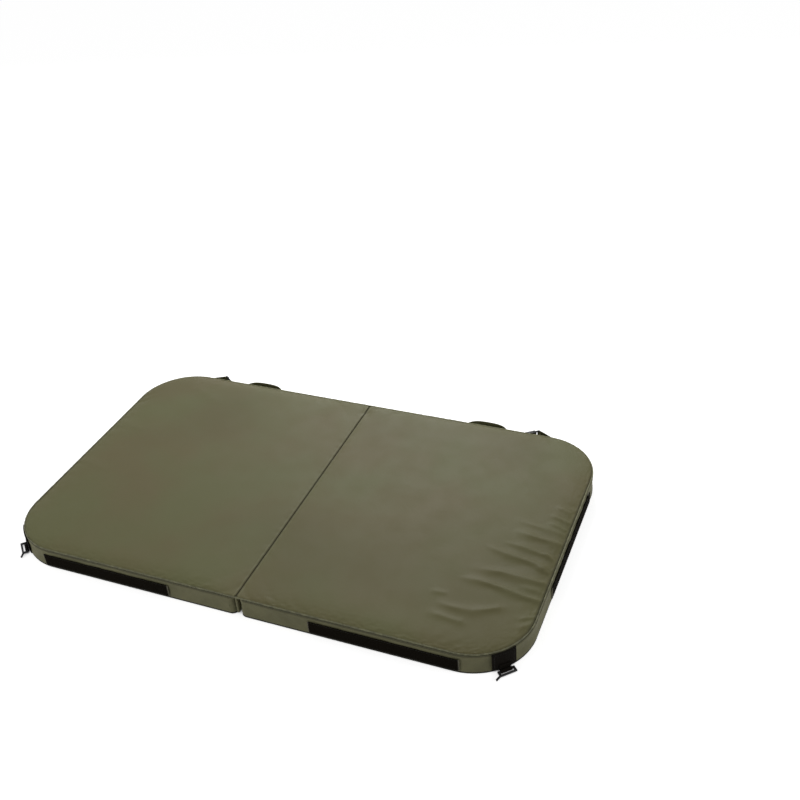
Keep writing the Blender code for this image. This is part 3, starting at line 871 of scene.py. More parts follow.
def panel(name, side, near, insets, cell, inner, height):
    """Sheet of one half with rounded corners, at height(x, y, inset from its edge)."""
    x_lines = panel_lines(near, WALL["far"], insets, cell)
    y_lines = panel_lines(WALL["front"], WALL["back"], insets, cell)
    width, depth = x_lines[-1] - x_lines[0], y_lines[-1] - y_lines[0]

    def place(u, v):
        flat_x, flat_y = x_lines[0] + u * width, y_lines[0] + v * depth
        inset = min(flat_x - near, WALL["far"] - flat_x, WALL["back"] - flat_y, flat_y - WALL["front"])
        x, y = round_corners(flat_x, flat_y, near, inner)
        return x, y, height(x, y, inset)

    across = [(line - x_lines[0]) / width for line in x_lines]
    up = [(line - y_lines[0]) / depth for line in y_lines]
    return surface(name, across, up, place, (width, depth), side)


# Folds of the right half, inwards to the seam, in millimetres: half width, height, crest
RIGHT_FOLDS = (
    (6.5, 4.2, (344, -148), (385, -147), (427, -153), (469, -161), (501, -159)),
    (9.2, 4.2, (360, -121), (416, -117), (457, -120), (498, -120)),
    (7.5, 4.0, (367, -59), (410, -72), (447, -77), (487, -85)),
    (6.0, 3.2, (392, -41), (438, -47), (482, -56)),
    (7.8, 4.0, (402, -7), (443, -15), (495, -20)),
    (4.5, 2.2, (457, 77), (486, 67)),
    (5.0, 2.8, (452, 52), (493, 40)),
    (4.5, 2.4, (453, 30), (492, 21)),
    (6.5, 1.8, (396, 22), (435, 14), (494, 8)),
    (8.5, 3.4, (326, -213), (348, -217), (372, -219), (396, -217), (417, -207), (440, -194)),
    (7.0, 2.4, (320, -239), (359, -243), (389, -246)),
    (7.0, 1.6, (313, -193), (340, -191)),
    (4.5, 2.4, (469, -213), (499, -192)),
    (4.5, 2.4, (475, -232), (498, -207)),
    (4.5, 2.4, (463, -86), (490, -93)),
    (4.5, 2.4, (466, -47), (488, -60)),
    (5.0, 1.8, (447, -139), (497, -140)),
    (6.5, -1.2, (4, 264), (12, 240)),
)
# The left half's few, in the same way
LEFT_FOLDS = (
    (15.0, 0.6, (300, 190), (400, 235)),
    (11.0, 0.6, (400, -80), (495, -60)),
    (12.0, 0.5, (410, 60), (495, 75)),
    (13.0, 0.7, (50, -190), (85, -290)),
    (6.0, -1.0, (4, 262), (10, 244)),
)
# Shares of a fold's run: over which it grows, at which it would be flat again, just past its
# end, and over which it sinks towards that
FOLD_GROWTH, FOLD_END, FOLD_SINK = 0.35, 1.04, 0.10
# How much a fold's width wanders, and how fast along it; each fold starts elsewhere
WANDER, WANDER_TURN, WANDER_START = 0.25, 90, 50
# Shape of a fold's slopes, between a sharp crest at 1 and a round one at 2
CREST = 1.5


def fold_height(spots, folds):
    """Heights that the folds add at an array of points in the half's plan."""
    total = np.zeros(len(spots))
    for fold in folds:
        width, height = fold[0] / 1000, fold[1] / 1000
        points = np.array(fold[2:]) / 1000
        runs = np.linalg.norm(np.diff(points, axis=0), axis=1)
        before = np.concatenate(([0], np.cumsum(runs)))
        nearest = np.full(len(spots), np.inf)
        along = np.zeros(len(spots))
        for index, run in enumerate(runs):
            way = (points[index + 1] - points[index]) / run
            spot = np.clip((spots - points[index]) @ way, 0, run)
            away = np.linalg.norm(spots - points[index] - spot[:, None] * way, axis=1)
            along = np.where(away < nearest, before[index] + spot, along)
            nearest = np.minimum(nearest, away)
        share = along / before[-1]
        fade = np.clip(share / FOLD_GROWTH, 0, 1) * np.clip((FOLD_END - share) / FOLD_SINK, 0, 1)
        wander = 1 + WANDER * np.sin(WANDER_TURN * along + WANDER_START * points[0][1])
        total += height * fade * np.exp(-((nearest / (width * wander)) ** CREST))
    return total


def closing_height(x):
    """Highest that the top may stand for the folded halves to close without touching."""
    return JOINTS["fold"].z + x * math.tan(math.radians(CLOSED_WEDGE / 2)) - CLOSED_AIR


def crown_limit(x):
    """Most that the foam may raise the top panel, so that the folded halves close."""
    size = sizes()
    return min(size.crown, size.fold_crown + size.fold_slope * x)


def billow(piece, held):
    """Lets the foam's pressure round the fabric, then caps how far each point moved."""
    size = sizes()
    scene = bpy.context.scene
    rest = [vertex.co.copy() for vertex in piece.data.vertices]
    group = piece.vertex_groups.new(name="sewn")
    group.add([vertex.index for vertex in piece.data.vertices if held(vertex.co)], 1.0, "REPLACE")
    focus(piece)
    cloth = piece.modifiers.new("Cloth", "CLOTH")
    for setting, value in CLOTH.items():
        setattr(cloth.settings, setting, value)
    cloth.settings.vertex_group_mass = group.name
    cloth.settings.uniform_pressure_force = size.pressure
    cloth.settings.effector_weights.gravity = 0
    cloth.point_cache.frame_end = size.frames
    for moment in range(1, size.frames + 1):
        scene.frame_set(moment)
    bpy.ops.object.modifier_apply(modifier=cloth.name)
    scene.frame_set(1)
    piece.vertex_groups.clear()
    for vertex, start in zip(piece.data.vertices, rest):
        moved = vertex.co - start
        limit = crown_limit(abs(start.x))
        if moved.length > 0:
            vertex.co = start + moved * (limit * math.tanh(moved.length / limit) / moved.length)


def top_panel(name, side):
    """Top panel of one half: billowed by the foam, gathered at the seam, with its folds."""
    size = sizes()
    near = panel_near()
    level = TOP_SEAM["head"] - PANEL_DROP
    insets = [size.groove_inset + inset for inset in TOP_INSETS]

    def height(x, y, inset):
        return level - size.groove_depth * math.exp(-(inset - size.groove_inset) / size.groove_width)

    def inset_of(point):
        return min(nearest_edge(abs(point.x), point.y)[0], abs(point.x) - near)

    top = panel(name + "_top_panel", side, near, insets, size.cell, size.sheet_fold_radius, height)
    billow(top, lambda point: inset_of(point) < size.groove_inset + size.groove_width)
    subdivide(top)
    spots = np.array([(abs(vertex.co.x), vertex.co.y) for vertex in top.data.vertices])
    folds = fold_height(spots, RIGHT_FOLDS if side > 0 else LEFT_FOLDS)
    for vertex, (x, y), fold in zip(top.data.vertices, spots, folds):
        inset, edge = nearest_edge(x, y)
        inset = max(0.0, inset - size.groove_inset)
        rise = 1 - math.exp(-inset / FOLD_RISE)
        pull = noise.noise(Vector((edge.x, edge.y, 3 * side + 4 * inset)) * GATHERS)
        ridge = 1 - min(1.0, GATHER_SHARPNESS * abs(pull))
        gather = ridge * math.exp(-inset / size.pucker_reach)
        dent = noise.noise(Vector((x, y, 5 * side)) * DENTS)
        clear_of_fold = min(1.0, max(0.0, (x - GATHER_START) / GATHER_GROWTH))
        lift = rise * (fold + clear_of_fold * (size.pucker * gather + size.dent * dent))
        vertex.co.z = min(vertex.co.z + lift, closing_height(x))
    thicken(top, size.fabric, -1, degrees=60)
    return top


# Side wall's cross-section from foot to head: share of its height, and inset
WALL_ROWS = (
    (0.0, 0.0014), (0.03, 0.0005), (0.08, 0.0001), (0.17, 0.0), (0.27, 0.0), (0.38, 0.0),
    (0.49, 0.0), (0.60, 0.0), (0.70, 0.0), (0.78, 0.0), (0.84, 0.0003), (0.865, 0.0016),
    (0.885, 0.0016), (0.905, 0.0002), (0.935, -0.0001), (0.965, 0.0008), (1.0, 0.0024),
)


def wall_inset(share):
    """How far the wall lies inside its outline at a share of its height, held at its ends."""
    return float(np.interp(share, *zip(*WALL_ROWS)))


def side_wall(name, side):
    """Wall of one half all round, with soft hollows and a line sewn below the seam."""
    size = sizes()
    outline = Outline()

    def place(u, v):
        distance = u * outline.length
        point, out = outline.at(distance)
        swell = math.sin(math.pi * v)
        hollow = noise.noise(Vector((point.x * HOLLOWS, point.y * HOLLOWS, v * 1.2 + 7 * side)))
        slant = noise.noise(Vector((distance * SLANTS + v * 1.6, v * 0.9, 11 * side)))
        crease = size.crease * (1 - min(1.0, CREASE_SHARPNESS * abs(slant))) ** 2
        depth = swell * (size.ripple * (0.5 + 0.5 * hollow) + size.crease - crease)
        point = point - (wall_inset(v) + depth) * out
        return point.x, point.y, WALL["foot"] + v * WALL_HEIGHT

    around = even(round(outline.length / size.cell))
    up = [row[0] for row in WALL_ROWS]
    wall = surface(name + "_side_wall", around, up, place, (outline.length, WALL_HEIGHT), side)
    weld(wall)
    subdivide(wall)
    thicken(wall, size.fabric, -1, degrees=60)
    return wall


def base_panel(name, side):
    """Base panel, flat on the floor and turned up a little at its seam."""
    size = sizes()

    def height(x, y, inset):
        turned = BASE_TURN * math.exp(-(inset - BASE_INSETS[0]) / BASE_TURN_REACH)
        dimple = 0.5 + 0.5 * noise.noise(Vector((x * DIMPLES, y * DIMPLES, side)))
        return size.fabric + turned + BASE_DIMPLE * dimple

    base = panel(
        name + "_base_panel", side, WALL["near"], BASE_INSETS, 2 * size.cell,
        size.fold_corner_radius, height)
    subdivide(base)
    thicken(base, size.fabric, -1, degrees=60)
    return base


class MAT_OT_covers(bpy.types.Operator):
    """Sew the top, wall and base panels of both halves round their foam"""

    bl_idname = "unhooking_mat.covers"
    bl_label = "Covers and Foam"

    def execute(self, context):
        for name, side in SIDES.items():
            half = name + "_half"
            top = top_panel(name, side)
            settle(top, "top_fabric", "top_fabric", half, name + "_top_sheet")
            wall = side_wall(name, side)
            settle(wall, "wall_fabric", "side_fabric", half, name + "_side_band")
            base = base_panel(name, side)
            settle(base, "base_fabric", "base_fabric", half, name + "_base_sheet")
            core = moulded(name + "_foam_core", name + "_foam_slab", FOAM_EDGE)
            edit(core, bpy.ops.transform.shrink_fatten, value=-FOAM_INSET)
            settle(core, "foam", "foam", half, name + "_foam_core")
        return {"FINISHED"}


# Seams

# Distance between a seam's points, its unevenness and how many turns that has in a metre
ROLL_STEP, ROLL_PULL, ROLL_TURNS = 0.0025, 0.0004, 210
BASE_STEP, BASE_PULL, BASE_TURNS = 0.004, 0.0002, 150
# How much thinner the base seam is than its node, as room for its unevenness
BASE_PLAY = 0.0001
# Straight steps that take the rolled seam on to the fold
LEAD_STEPS = 5
# How far a stitch's middle stands off webbing and tape, or lies inside the wall's face
STITCH_STAND, STITCH_SUNK = 0.0003, 0.0004


def cord(name, points, radius, side, closed=False):
    """Round cord through points, as a mesh."""
    curve = bpy.data.curves.new(name, "CURVE")
    curve.dimensions = "3D"
    curve.bevel_depth = radius
    curve.bevel_resolution = 2
    curve.use_fill_caps = not closed
    spline = curve.splines.new("POLY")
    spline.points.add(len(points) - 1)
    for target, (x, y, z) in zip(spline.points, points):
        target.co = (side * x, y, z, 1)
    spline.use_cyclic_u = closed
    piece = bpy.data.objects.new(name, curve)
    bpy.context.scene.collection.objects.link(piece)
    focus(piece)
    bpy.ops.object.convert(target="MESH")
    piece = bpy.context.object
    weld(piece)
    edit(piece, bpy.ops.mesh.normals_make_consistent, inside=False)
    return piece


def pull_in(piece, amount, turns, seed):
    """Moves a cord's surface in and out a little, as the thread pulls it."""
    normals = [vertex.normal.copy() for vertex in piece.data.vertices]
    for vertex, normal in zip(piece.data.vertices, normals):
        spot = Vector((vertex.co.x, vertex.co.y, seed)) * turns
        vertex.co += normal * amount * noise.noise(spot)
    smooth(piece, 60)


class MAT_OT_seams(bpy.types.Operator):
    """Roll the top seam, lay the base seam and sew the lines of stitches"""

    bl_idname = "unhooking_mat.seams"
    bl_label = "Seams and Stitches"

    def execute(self, context):
        outline = Outline()
        radius = (TOP_SEAM["head"] - TOP_SEAM["foot"]) / 2
        inset = TOP_SEAM["front"] + radius - WALL["front"]
        points = self.rolled_points(outline, inset, TOP_SEAM["head"] - radius)
        base_radius = (BASE_SEAM["head"] - BASE_SEAM["foot"]) / 2
        # All points round the outline but the last, which is the first one again
        ring = outline.points(outline.length, BASE_STEP, inset, base_radius)[:-1]
        for name, side in SIDES.items():
            half = name + "_half"
            roll = cord(name + "_rolled_seam", points, sizes().roll_radius, side)
            pull_in(roll, ROLL_PULL, ROLL_TURNS, side)
            settle(roll, "roll_fabric", "top_fabric", half, name + "_top_piping")
            foot = cord(name + "_base_seam", ring, base_radius - BASE_PLAY, side, closed=True)
            pull_in(foot, BASE_PULL, BASE_TURNS, side)
            settle(foot, "base_fabric", "side_fabric", half, name + "_base_piping")
            self.sew_wall(name, side, outline)
        return {"FINISHED"}

    def rolled_points(self, outline, inset, z):
        """Points of the rolled seam on the three outer sides, straight on to the fold."""
        inset -= sizes().roll_shift
        points = outline.points(outline.corner_start(2), ROLL_STEP, inset, z)
        near = sizes().fold_gap / 2
        first, last = points[0], points[-1]
        lead = [near + (first.x - near) * step / LEAD_STEPS for step in range(LEAD_STEPS)]
        start = [(x, first.y, z) for x in lead]
        return start + points + [(x, last.y, z) for x in reversed(lead)]

    def sew_wall(self, name, side, outline):
        share = sizes().stitch_share
        sunk = wall_inset(share) + STITCH_SUNK

        def spot(distance):
            return outline.off(distance, -sunk, WALL["foot"] + share * WALL_HEIGHT)

        places = sewn_line(spot, sizes().stitch_pitch / 2, outline.corner_start(2))
        sew(name + "_wall_stitches", places, "olive_thread", side)


# Tapes

# Face size and thickness of the tape, its distance from the wall, and least share of its pile
TAPE_CELL, TAPE_BACKING, TAPE_STAND, LEAST_PILE = 0.0013, 0.0009, 0.0002, 0.45
# Share of the tape's bare edge at which the stitches run
TAPE_SEWN = 0.75


class MAT_OT_tapes(bpy.types.Operator):
    """Sew the hook and loop tapes to the front and end walls"""

    bl_idname = "unhooking_mat.tapes"
    bl_label = "Hook and Loop Tapes"

    def execute(self, context):
        outline = Outline()
        start = FRONT_TAPE["near"] - WALL["near"] - sizes().fold_corner_radius
        run = FRONT_TAPE["far"] - FRONT_TAPE["near"]
        front = WallPatch(outline, start, run, FRONT_TAPE["foot"], FRONT_TAPE["head"])
        start = outline.corner_start(1) - (outline.corners[1][0].y - END_TAPE["front"])
        run = END_TAPE["back"] - END_TAPE["front"]
        end = WallPatch(outline, start, run, END_TAPE["foot"], END_TAPE["head"])
        for name, side in SIDES.items():
            self.tape(name, side, "front", front)
            self.tape(name, side, "side", end)
        return {"FINISHED"}

    def tape(self, name, side, wall, patch):
        size = sizes()
        run, width = patch.size
        chance = random.Random(f"{name} {wall}")

        def stand(u, v):
            border = min(u, run - u, v, width - v)
            pile = size.pile if border > size.tape_margin else 0.0
            return TAPE_STAND + TAPE_BACKING + pile * chance.uniform(LEAST_PILE, 1.0)

        cells = (round(run / TAPE_CELL), round(width / TAPE_CELL))
        tape = patch.cover(f"{name}_{wall}_tape", side, cells, stand, TAPE_BACKING, -1)
        settle(tape, "hook_and_loop", "hook_and_loop", name + "_half", f"{name}_{wall}_strip")
        patch.sew_round(
            f"{name}_{wall}_tape_stitches", side, TAPE_BACKING + STITCH_STAND,
            size.tape_margin * TAPE_SEWN, "black_thread")


# Front corners

# How far the corner webbing stops inside its node at its foot and head
CORNER_FOOT, CORNER_HEAD = 0.0004, 0.0002
# Its distance from the wall, the share of the wall's insets that it follows, and how far it
# turns in above and below the wall
CORNER_STAND, CORNER_FOLLOW, CORNER_TURN_IN = 0.0003, 0.6, 0.0006
# Distance of the stitches from the corner webbing's edge
CORNER_SEWN = 0.004
# Faces of the corner webbing and of the loop, along and up or across
CORNER_CELLS, LOOP_CELLS = (20, 22), (44, 12)
# Straight steps of the loop's sewn tail, and steps of its turn
TAIL_STEPS, LOOP_STEPS = 6, 30
# Thickness of the loop's webbing, and the degrees that it runs round the ring's bar
LOOP_WEBBING, LOOP_TURN = 0.001, 290
# The rounding of the ring's edges, and how much larger it is than its node all round
RING_EDGE, RING_GROWTH = 0.0006, 0.0004


class MAT_OT_corners(bpy.types.Operator):
    """Wrap the front corners in webbing and hang the rings from their loops"""

    bl_idname = "unhooking_mat.corners"
    bl_label = "Corner Webbing and Rings"

    def execute(self, context):
        for name, side in SIDES.items():
            self.patch(name, side)
            self.loop(name, side)
            node = name + "_corner_ring"
            ring = moulded(node, name + "_ring_moulding", RING_EDGE)
            edit(ring, bpy.ops.transform.shrink_fatten, value=RING_GROWTH)
            settle(ring, "black_plastic", "black_plastic", name + "_ring", node)
        return {"FINISHED"}

    def patch(self, name, side):
        size = sizes()
        outline = Outline()
        run = size.corner_radius * QUARTER / 4
        start = outline.corner_start(0) + size.corner_radius * QUARTER / 2 - run / 2
        low, high = CORNER_PATCH["foot"] + CORNER_FOOT, CORNER_PATCH["head"] - CORNER_HEAD
        patch = WallPatch(outline, start, run, low, high)

        def stand(u, v):
            share = (low + v - WALL["foot"]) / WALL_HEIGHT
            turned_in = 0.0 if 0 <= share <= 1 else CORNER_TURN_IN
            return CORNER_STAND - wall_inset(share) * CORNER_FOLLOW - turned_in

        band = patch.cover(name + "_corner_webbing", side, CORNER_CELLS, stand, size.webbing)
        settle(band, "black_webbing", "black_webbing", name + "_half", name + "_corner_band")
        patch.sew_round(
            name + "_corner_stitches", side, size.webbing + STITCH_STAND, CORNER_SEWN, "black_thread")

    def loop(self, name, side):
        size = sizes()
        pivot = JOINTS["right_ring_lift"]
        out = direction(-QUARTER / 2)
        over = Vector((out.y, -out.x, 0))
        radius = size.loop_radius
        profile = [(-radius, size.loop_tail * (1 - share)) for share in even(TAIL_STEPS)[:-1]]
        for share in even(LOOP_STEPS):
            turn = math.pi + math.radians(LOOP_TURN) * share
            profile.append((radius * math.cos(turn), radius * math.sin(turn)))
        route = Route([pivot + x * out + Vector((0, 0, z)) for x, z in profile])

        def place(u, v):
            return route.at(u) + (v - 0.5) * size.loop_width * over

        along, across = (even(count) for count in LOOP_CELLS)
        cloth = (route.length, size.loop_width)
        loop = surface(name + "_ring_loop", along, across, place, cloth, side)
        edit(loop, bpy.ops.mesh.normals_make_consistent, inside=False)
        thicken(loop, LOOP_WEBBING, 0)
        settle(loop, "black_webbing", "black_webbing", name + "_half", name + "_corner_loop")


# Handles

# Distance of the stitches from the edge of a sewn end, and how far its rim is pressed in
END_SEWN, END_PRESS = 0.003, 0.0004
# How far the stitches of a handle's end stand off it
END_STITCH_STAND = 0.0001
# Faces of the handle and of its sewn ends, along and up
HANDLE_CELLS, END_CELLS = (60, 14), (16, 20)


class MAT_OT_handles(bpy.types.Operator):
    """Bow the carry handles between their sewn ends"""

    bl_idname = "unhooking_mat.handles"
    bl_label = "Carry Handles"

    def execute(self, context):
        for name, side in SIDES.items():
            self.handle(name, side)
            for end in ("inner", "outer"):
                self.end_patch(name, side, end)
        return {"FINISHED"}

    def handle(self, name, side):
        size = sizes()
        middle = (GRIP["near"] + GRIP["far"]) / 2
        half_span = (GRIP["far"] - GRIP["near"]) / 2
        wall = JOINTS["right_handle_lift"].y
        points = []
        for share in even(HANDLE_CELLS[0]):
            across = 2 * share - 1
            bowed = abs(across) * half_span / (half_span - size.handle_lead)
            bulge = size.handle_bulge * (1 - min(1.0, bowed) ** size.handle_fullness)
            points.append((middle + across * half_span, wall + bulge, 0))
        route = Route(points)
        handle = ribbon(
            name + "_carry_handle", route, GRIP["foot"], GRIP["head"], HANDLE_CELLS, side)
        edit(handle, bpy.ops.mesh.flip_normals)
        for vertex in handle.data.vertices:
            across = (abs(vertex.co.x) - middle) / half_span
            vertex.co.z += size.handle_arch * (1 - across**2)
        thicken(handle, size.webbing, 0)
        settle(handle, "olive_webbing", "olive_webbing", name + "_handle_grip", name + "_handle")

    def end_patch(self, name, side, end):
        node = f"{name}_handle_patch_{end}"
        edges = edges_of(f"right_handle_patch_{end}")
        width, height = edges["far"] - edges["near"], edges["head"] - edges["foot"]
        out = Vector((0, 1, 0))

        def place(u, v):
            press = END_PRESS * (1 - math.sin(math.pi * u) * math.sin(math.pi * v))
            return edges["far"] - u * width, edges["back"] - press, edges["foot"] + v * height

        def spot(u, v):
            point = (edges["near"] + u, edges["back"] + END_STITCH_STAND, edges["foot"] + v)
            return Vector(point), out

        across, up = (even(count) for count in END_CELLS)
        cloth = (width, height)
        patch = surface(node + "_webbing", across, up, place, cloth, side)
        thicken(patch, sizes().webbing, -1)
        settle(patch, "olive_webbing", "olive_webbing", name + "_half", node)
        sew_round(node + "_stitches", spot, cloth, END_SEWN, "olive_thread", side, cross=True)


# Back straps

# Share of the back corner's turn at which the strap is sewn on
STRAP_SHARE = 1 - 1.5 / 8
# How deep the strap starts in its sewn end, and the degrees that it runs round the bar
STRAP_SUNK, STRAP_TURN = 0.0003, 275
# Thickness of the strap between its ends, and how far its sewn end stands off the wall
STRAP_WEBBING, STRAP_STAND = 0.0011, 0.0002
# Faces of the strap and of its sewn end, along and up, and steps of each of the strap's bends
STRAP_CELLS, STRAP_END_CELLS, BEND_STEPS = (80, 12), (14, 16), 30
# The rounding of the buckle's edges
BUCKLE_EDGE = 0.0005


def strap_route():
    """Route of the right back strap, from its sewn end to the eye round the buckle's bar."""
    size = sizes()
    axis, bar = JOINTS["right_strap_swing"], JOINTS["right_buckle_swing"]
    axis, bar = Vector((axis.x, axis.y, 0)), Vector((bar.x, bar.y, 0))
    start = direction(QUARTER * STRAP_SHARE + QUARTER)
    approach = (bar - axis).normalized()
    first = math.atan2(approach.y, approach.x) - QUARTER
    touch = bar + size.strap_eye * direction(first)
    ends = (axis, axis + size.strap_curve * start, touch - size.strap_curve * approach, touch)
    points = [axis - STRAP_SUNK * start]
    for share in even(BEND_STEPS):
        left = 1 - share
        weights = (left**3, 3 * share * left**2, 3 * share * share * left, share**3)
        points.append(sum((weight * end for weight, end in zip(weights, ends)), Vector()))
    for share in even(BEND_STEPS)[1:]:
        points.append(bar + size.strap_eye * direction(first + math.radians(STRAP_TURN) * share))
    return Route(points)


class MAT_OT_straps(bpy.types.Operator):
    """Lay the back straps from their sewn patches round the buckles' bars"""

    bl_idname = "unhooking_mat.straps"
    bl_label = "Back Straps and Buckles"

    def execute(self, context):
        route = strap_route()
        for name, side in SIDES.items():
            self.patch(name, side)
            strap = ribbon(
                name + "_strap_webbing", route, STRAP["foot"], STRAP["head"], STRAP_CELLS, side)
            edit(strap, bpy.ops.mesh.flip_normals)
            thicken(strap, STRAP_WEBBING, 0)
            settle(strap, "olive_webbing", "olive_webbing", name + "_strap", name + "_back_strap")
            node = name + "_back_buckle"
            buckle = moulded(node, name + "_buckle_moulding", BUCKLE_EDGE)
            settle(buckle, "black_plastic", "black_plastic", name + "_buckle", node)
        return {"FINISHED"}

    def patch(self, name, side):
        size = sizes()
        outline = Outline()
        run = size.strap_end
        start = outline.corner_start(1) + size.corner_radius * QUARTER * STRAP_SHARE - run / 2
        patch = WallPatch(outline, start, run, STRAP_PATCH["foot"], STRAP_PATCH["head"])
        end = patch.cover(
            name + "_strap_end", side, STRAP_END_CELLS, lambda u, v: STRAP_STAND, size.webbing)
        settle(end, "olive_webbing", "olive_webbing", name + "_half", name + "_strap_patch")
        patch.sew_round(
            name + "_strap_stitches", side, size.webbing + STRAP_STAND, END_SEWN, "olive_thread",
            cross=True)


# Fold

# How far the web runs on past its node, and the depth and half width of its dip in the middle
WEB_TUCKED, WEB_SAG, WEB_SAG_REACH = 0.0028, 0.0004, 0.002
# Half the strip of the web at the fold's middle
WEB_BEND = 0.0015
WEB_CLOTH = 0.0007
# Room that a tuck's cloth takes, its thickness in that, and the depth of its ripples
TUCK_ROOM, TUCK_CLOTH, TUCK_RIPPLE = 0.001, 0.0009, 0.0004
# Turns per metre of those ripples, across the fold and up the tuck
TUCK_ACROSS, TUCK_UP = 300, 160
# Faces of the web across and along the fold, and of a tuck round its nose and up
WEB_CELLS, TUCK_CELLS = (24, 100), (40, 16)
# Steps of a tuck's round nose
NOSE_STEPS = 16


class MAT_OT_fold(bpy.types.Operator):
    """Join the halves with the hinge web and tuck the fabric at the fold's ends"""

    bl_idname = "unhooking_mat.fold"
    bl_label = "Fold Web and Tucks"

    def execute(self, context):
        self.web()
        for name, way in (("front_pleat", -1), ("back_pleat", 1)):
            self.tuck(name, way)
        return {"FINISHED"}

    def web(self):
        front = WEB["front"] - WEB_TUCKED
        width, depth = WEB["far"] - WEB["near"], WEB["back"] + WEB_TUCKED - front
        level = (WEB["foot"] + WEB["head"]) / 2

        def place(u, v):
            x = WEB["near"] + u * width
            sag = WEB_SAG * math.exp(-((x / WEB_SAG_REACH) ** 2))
            return x, front + v * depth, level - sag

        across, along = (even(count) for count in WEB_CELLS)
        web = surface("hinge_web", across, along, place, (width, depth))
        thicken(web, WEB_CLOTH, 0, degrees=60)
        settle(web, "wall_fabric", "side_fabric", None, "fold_web")
        start, end = (-WEB_BEND, MIDDLE_Y, level), (WEB_BEND, MIDDLE_Y, level)
        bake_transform(web)
        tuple(start)
        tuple(end)

    def tuck(self, name, way):
        edges = edges_of(name)
        radius = (edges["far"] - edges["near"] - TUCK_ROOM) / 2
        middle = (edges["far"] + edges["near"]) / 2
        nose_y = edges["back"] if way > 0 else edges["front"]
        inner_y = edges["front"] if way > 0 else edges["back"]
        nose_y -= way * (radius + TUCK_ROOM / 2)
        points = [(middle + way * radius, inner_y, 0)]
        for share in even(NOSE_STEPS):
            turn = math.pi * share
            x, y = middle + way * radius * math.cos(turn), nose_y + way * radius * math.sin(turn)
            points.append((x, y, 0))
        points.append((middle - way * radius, inner_y, 0))
        tuck = ribbon(name + "_fabric", Route(points), edges["foot"], edges["head"], TUCK_CELLS)
        for vertex in tuck.data.vertices:
            spot = Vector((vertex.co.x * TUCK_ACROSS, way, vertex.co.z * TUCK_UP))
            vertex.co.y += TUCK_RIPPLE * noise.noise(spot)
        thicken(tuck, TUCK_CLOTH, 0, degrees=60)
        settle(tuck, "wall_fabric", "side_fabric", "left_half", name)


# Stage

# Name, place, width and power of each lamp
LAMPS = (
    ("key", (-0.5, 1.9, 1.35), 0.8, 31),
    ("fill", (2.4, -0.25, 0.8), 1.2, 12),
    ("front", (-1.2, -2.0, 0.7), 1.2, 14.5),
)
# The floor's size, how far it lies under the mat, its own white, and its grey for the shadow
FLOOR_SIZE, FLOOR_DROP, FLOOR_GLOW, FLOOR_GREY = 40, 0.0002, 0.70, 0.84
# Light of the studio's air
AIR_LIGHT = 0.34
# Reach and shares of open air between which the floor's white comes in; short of them the floor shows
# painted shade
AIR_REACH, AIR_DARK, AIR_OPEN = 0.05, 0.08, 0.35
# The camera's place, its directions fitted to the photo, and its lens in millimetres
EYE = (0.8283, -1.38525, 1.3349)
EYE_RIGHT = (0.9266, 0.3700, -0.0676)
EYE_AHEAD = (-0.3407, 0.7495, -0.5676)
LENS, SENSOR = 48.3, 36.0


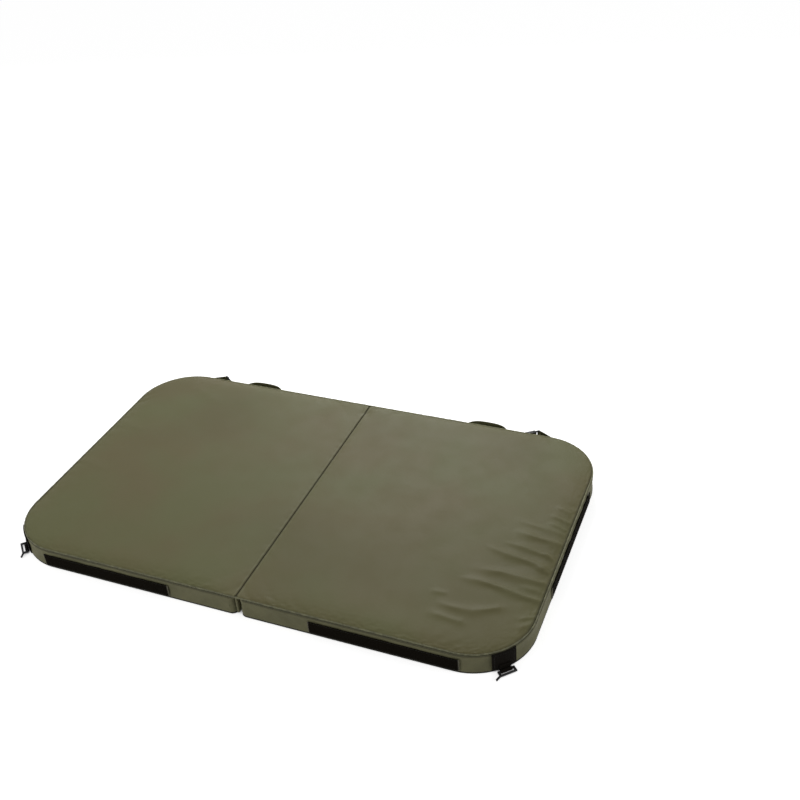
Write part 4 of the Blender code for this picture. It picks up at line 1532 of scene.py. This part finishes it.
class MAT_OT_stage(bpy.types.Operator):
    """Set the floor, the soft lights and the camera"""

    bl_idname = "unhooking_mat.stage"
    bl_label = "Floor, Lights and Camera"

    def execute(self, context):
        self.floor()
        self.air()
        self.lamps()
        self.camera()
        return {"FINISHED"}

    def floor(self):
        bpy.ops.object.select_all(action="DESELECT")
        bpy.ops.mesh.primitive_plane_add(size=FLOOR_SIZE, location=(0, 0, -FLOOR_DROP))
        floor = bpy.context.object
        floor.name = "studio_floor"
        finish = Finish("floor", 0.9, Specular_IOR_Level=0.0)
        finish.shader.inputs["Base Color"].default_value = shade(colours().floor)
        # The white glow stays out of deep gaps such as the fold's, as a painted shade by ambient
        # occlusion
        open_air = finish.node("AmbientOcclusion", 1, Distance=AIR_REACH)
        glow = finish.spread(open_air, AIR_DARK, AIR_OPEN, 0.0, FLOOR_GLOW)
        white = finish.node("Emission", Color=WHITE, Strength=glow)
        shadow = finish.node("BsdfDiffuse", Color=(FLOOR_GREY, FLOOR_GREY, FLOOR_GREY, 1.0))
        seen = finish.node("AddShader", n0=white, n1=shadow)
        plain = finish.shader.outputs["BSDF"]
        mixed = finish.node("MixShader", n0=finish.white_rays(), n1=plain, n2=seen)
        finish.end_at("Material Output", mixed)
        floor.data.materials.append(finish.material)

    def air(self):
        world = bpy.data.worlds.new("studio")
        bpy.context.scene.world = world
        world.use_nodes = True
        nodes = Nodes(world.node_tree)
        light = nodes.tree.nodes["Background"]
        light.inputs["Color"].default_value = WHITE
        light.inputs["Strength"].default_value = AIR_LIGHT
        backdrop = nodes.node("Background", Color=WHITE)
        lit = light.outputs["Background"]
        mixed = nodes.node("MixShader", n0=nodes.white_rays(), n1=lit, n2=backdrop)
        nodes.end_at("World Output", mixed)

    def lamps(self):
        for name, place, width, power in LAMPS:
            data = bpy.data.lights.new(name, "AREA")
            data.shape = "DISK"
            data.size = width
            data.energy = power
            lamp = bpy.data.objects.new(name, data)
            lamp.location = place
            lamp.rotation_euler = (-Vector(place)).to_track_quat("-Z", "Y").to_euler()
            bpy.context.scene.collection.objects.link(lamp)

    def camera(self):
        data = bpy.data.cameras.new("photo_view")
        data.lens = LENS
        data.sensor_width = SENSOR
        camera = bpy.data.objects.new("photo_view", data)
        right, ahead = Vector(EYE_RIGHT).normalized(), Vector(EYE_AHEAD).normalized()
        up = right.cross(ahead).normalized()
        turn = Matrix((ahead.cross(up), up, -ahead)).transposed().to_4x4()
        camera.matrix_world = Matrix.Translation(EYE) @ turn
        bpy.context.scene.collection.objects.link(camera)
        bpy.context.scene.camera = camera
        bpy.context.scene.view_settings.view_transform = "Standard"


OPERATORS = (
    MAT_OT_covers, MAT_OT_seams, MAT_OT_tapes, MAT_OT_corners, MAT_OT_handles, MAT_OT_straps,
    MAT_OT_fold, MAT_OT_stage,
)


class MAT_PT_panel(bpy.types.Panel):
    """Steps that make the mat"""

    bl_label = "Unhooking Mat"
    bl_idname = "MAT_PT_panel"
    bl_space_type = "VIEW_3D"
    bl_region_type = "UI"
    bl_category = "Mat"

    def draw(self, context):
        for operator in OPERATORS:
            self.layout.operator(operator.bl_idname)


CLASSES = (MatSizes, MatColours, *OPERATORS, MAT_PT_panel)


def register():
    for made in CLASSES:
        bpy.utils.register_class(made)
    bpy.types.Scene.mat_sizes = bpy.props.PointerProperty(type=MatSizes)
    bpy.types.Scene.mat_colours = bpy.props.PointerProperty(type=MatColours)


def unregister():
    del bpy.types.Scene.mat_colours
    del bpy.types.Scene.mat_sizes
    for made in reversed(CLASSES):
        bpy.utils.unregister_class(made)


def main():
    register()
    bpy.ops.unhooking_mat.covers()
    bpy.ops.unhooking_mat.seams()
    bpy.ops.unhooking_mat.tapes()
    bpy.ops.unhooking_mat.corners()
    bpy.ops.unhooking_mat.handles()
    bpy.ops.unhooking_mat.straps()
    bpy.ops.unhooking_mat.fold()
    bpy.ops.unhooking_mat.stage()


if __name__ == "__main__":
    main()
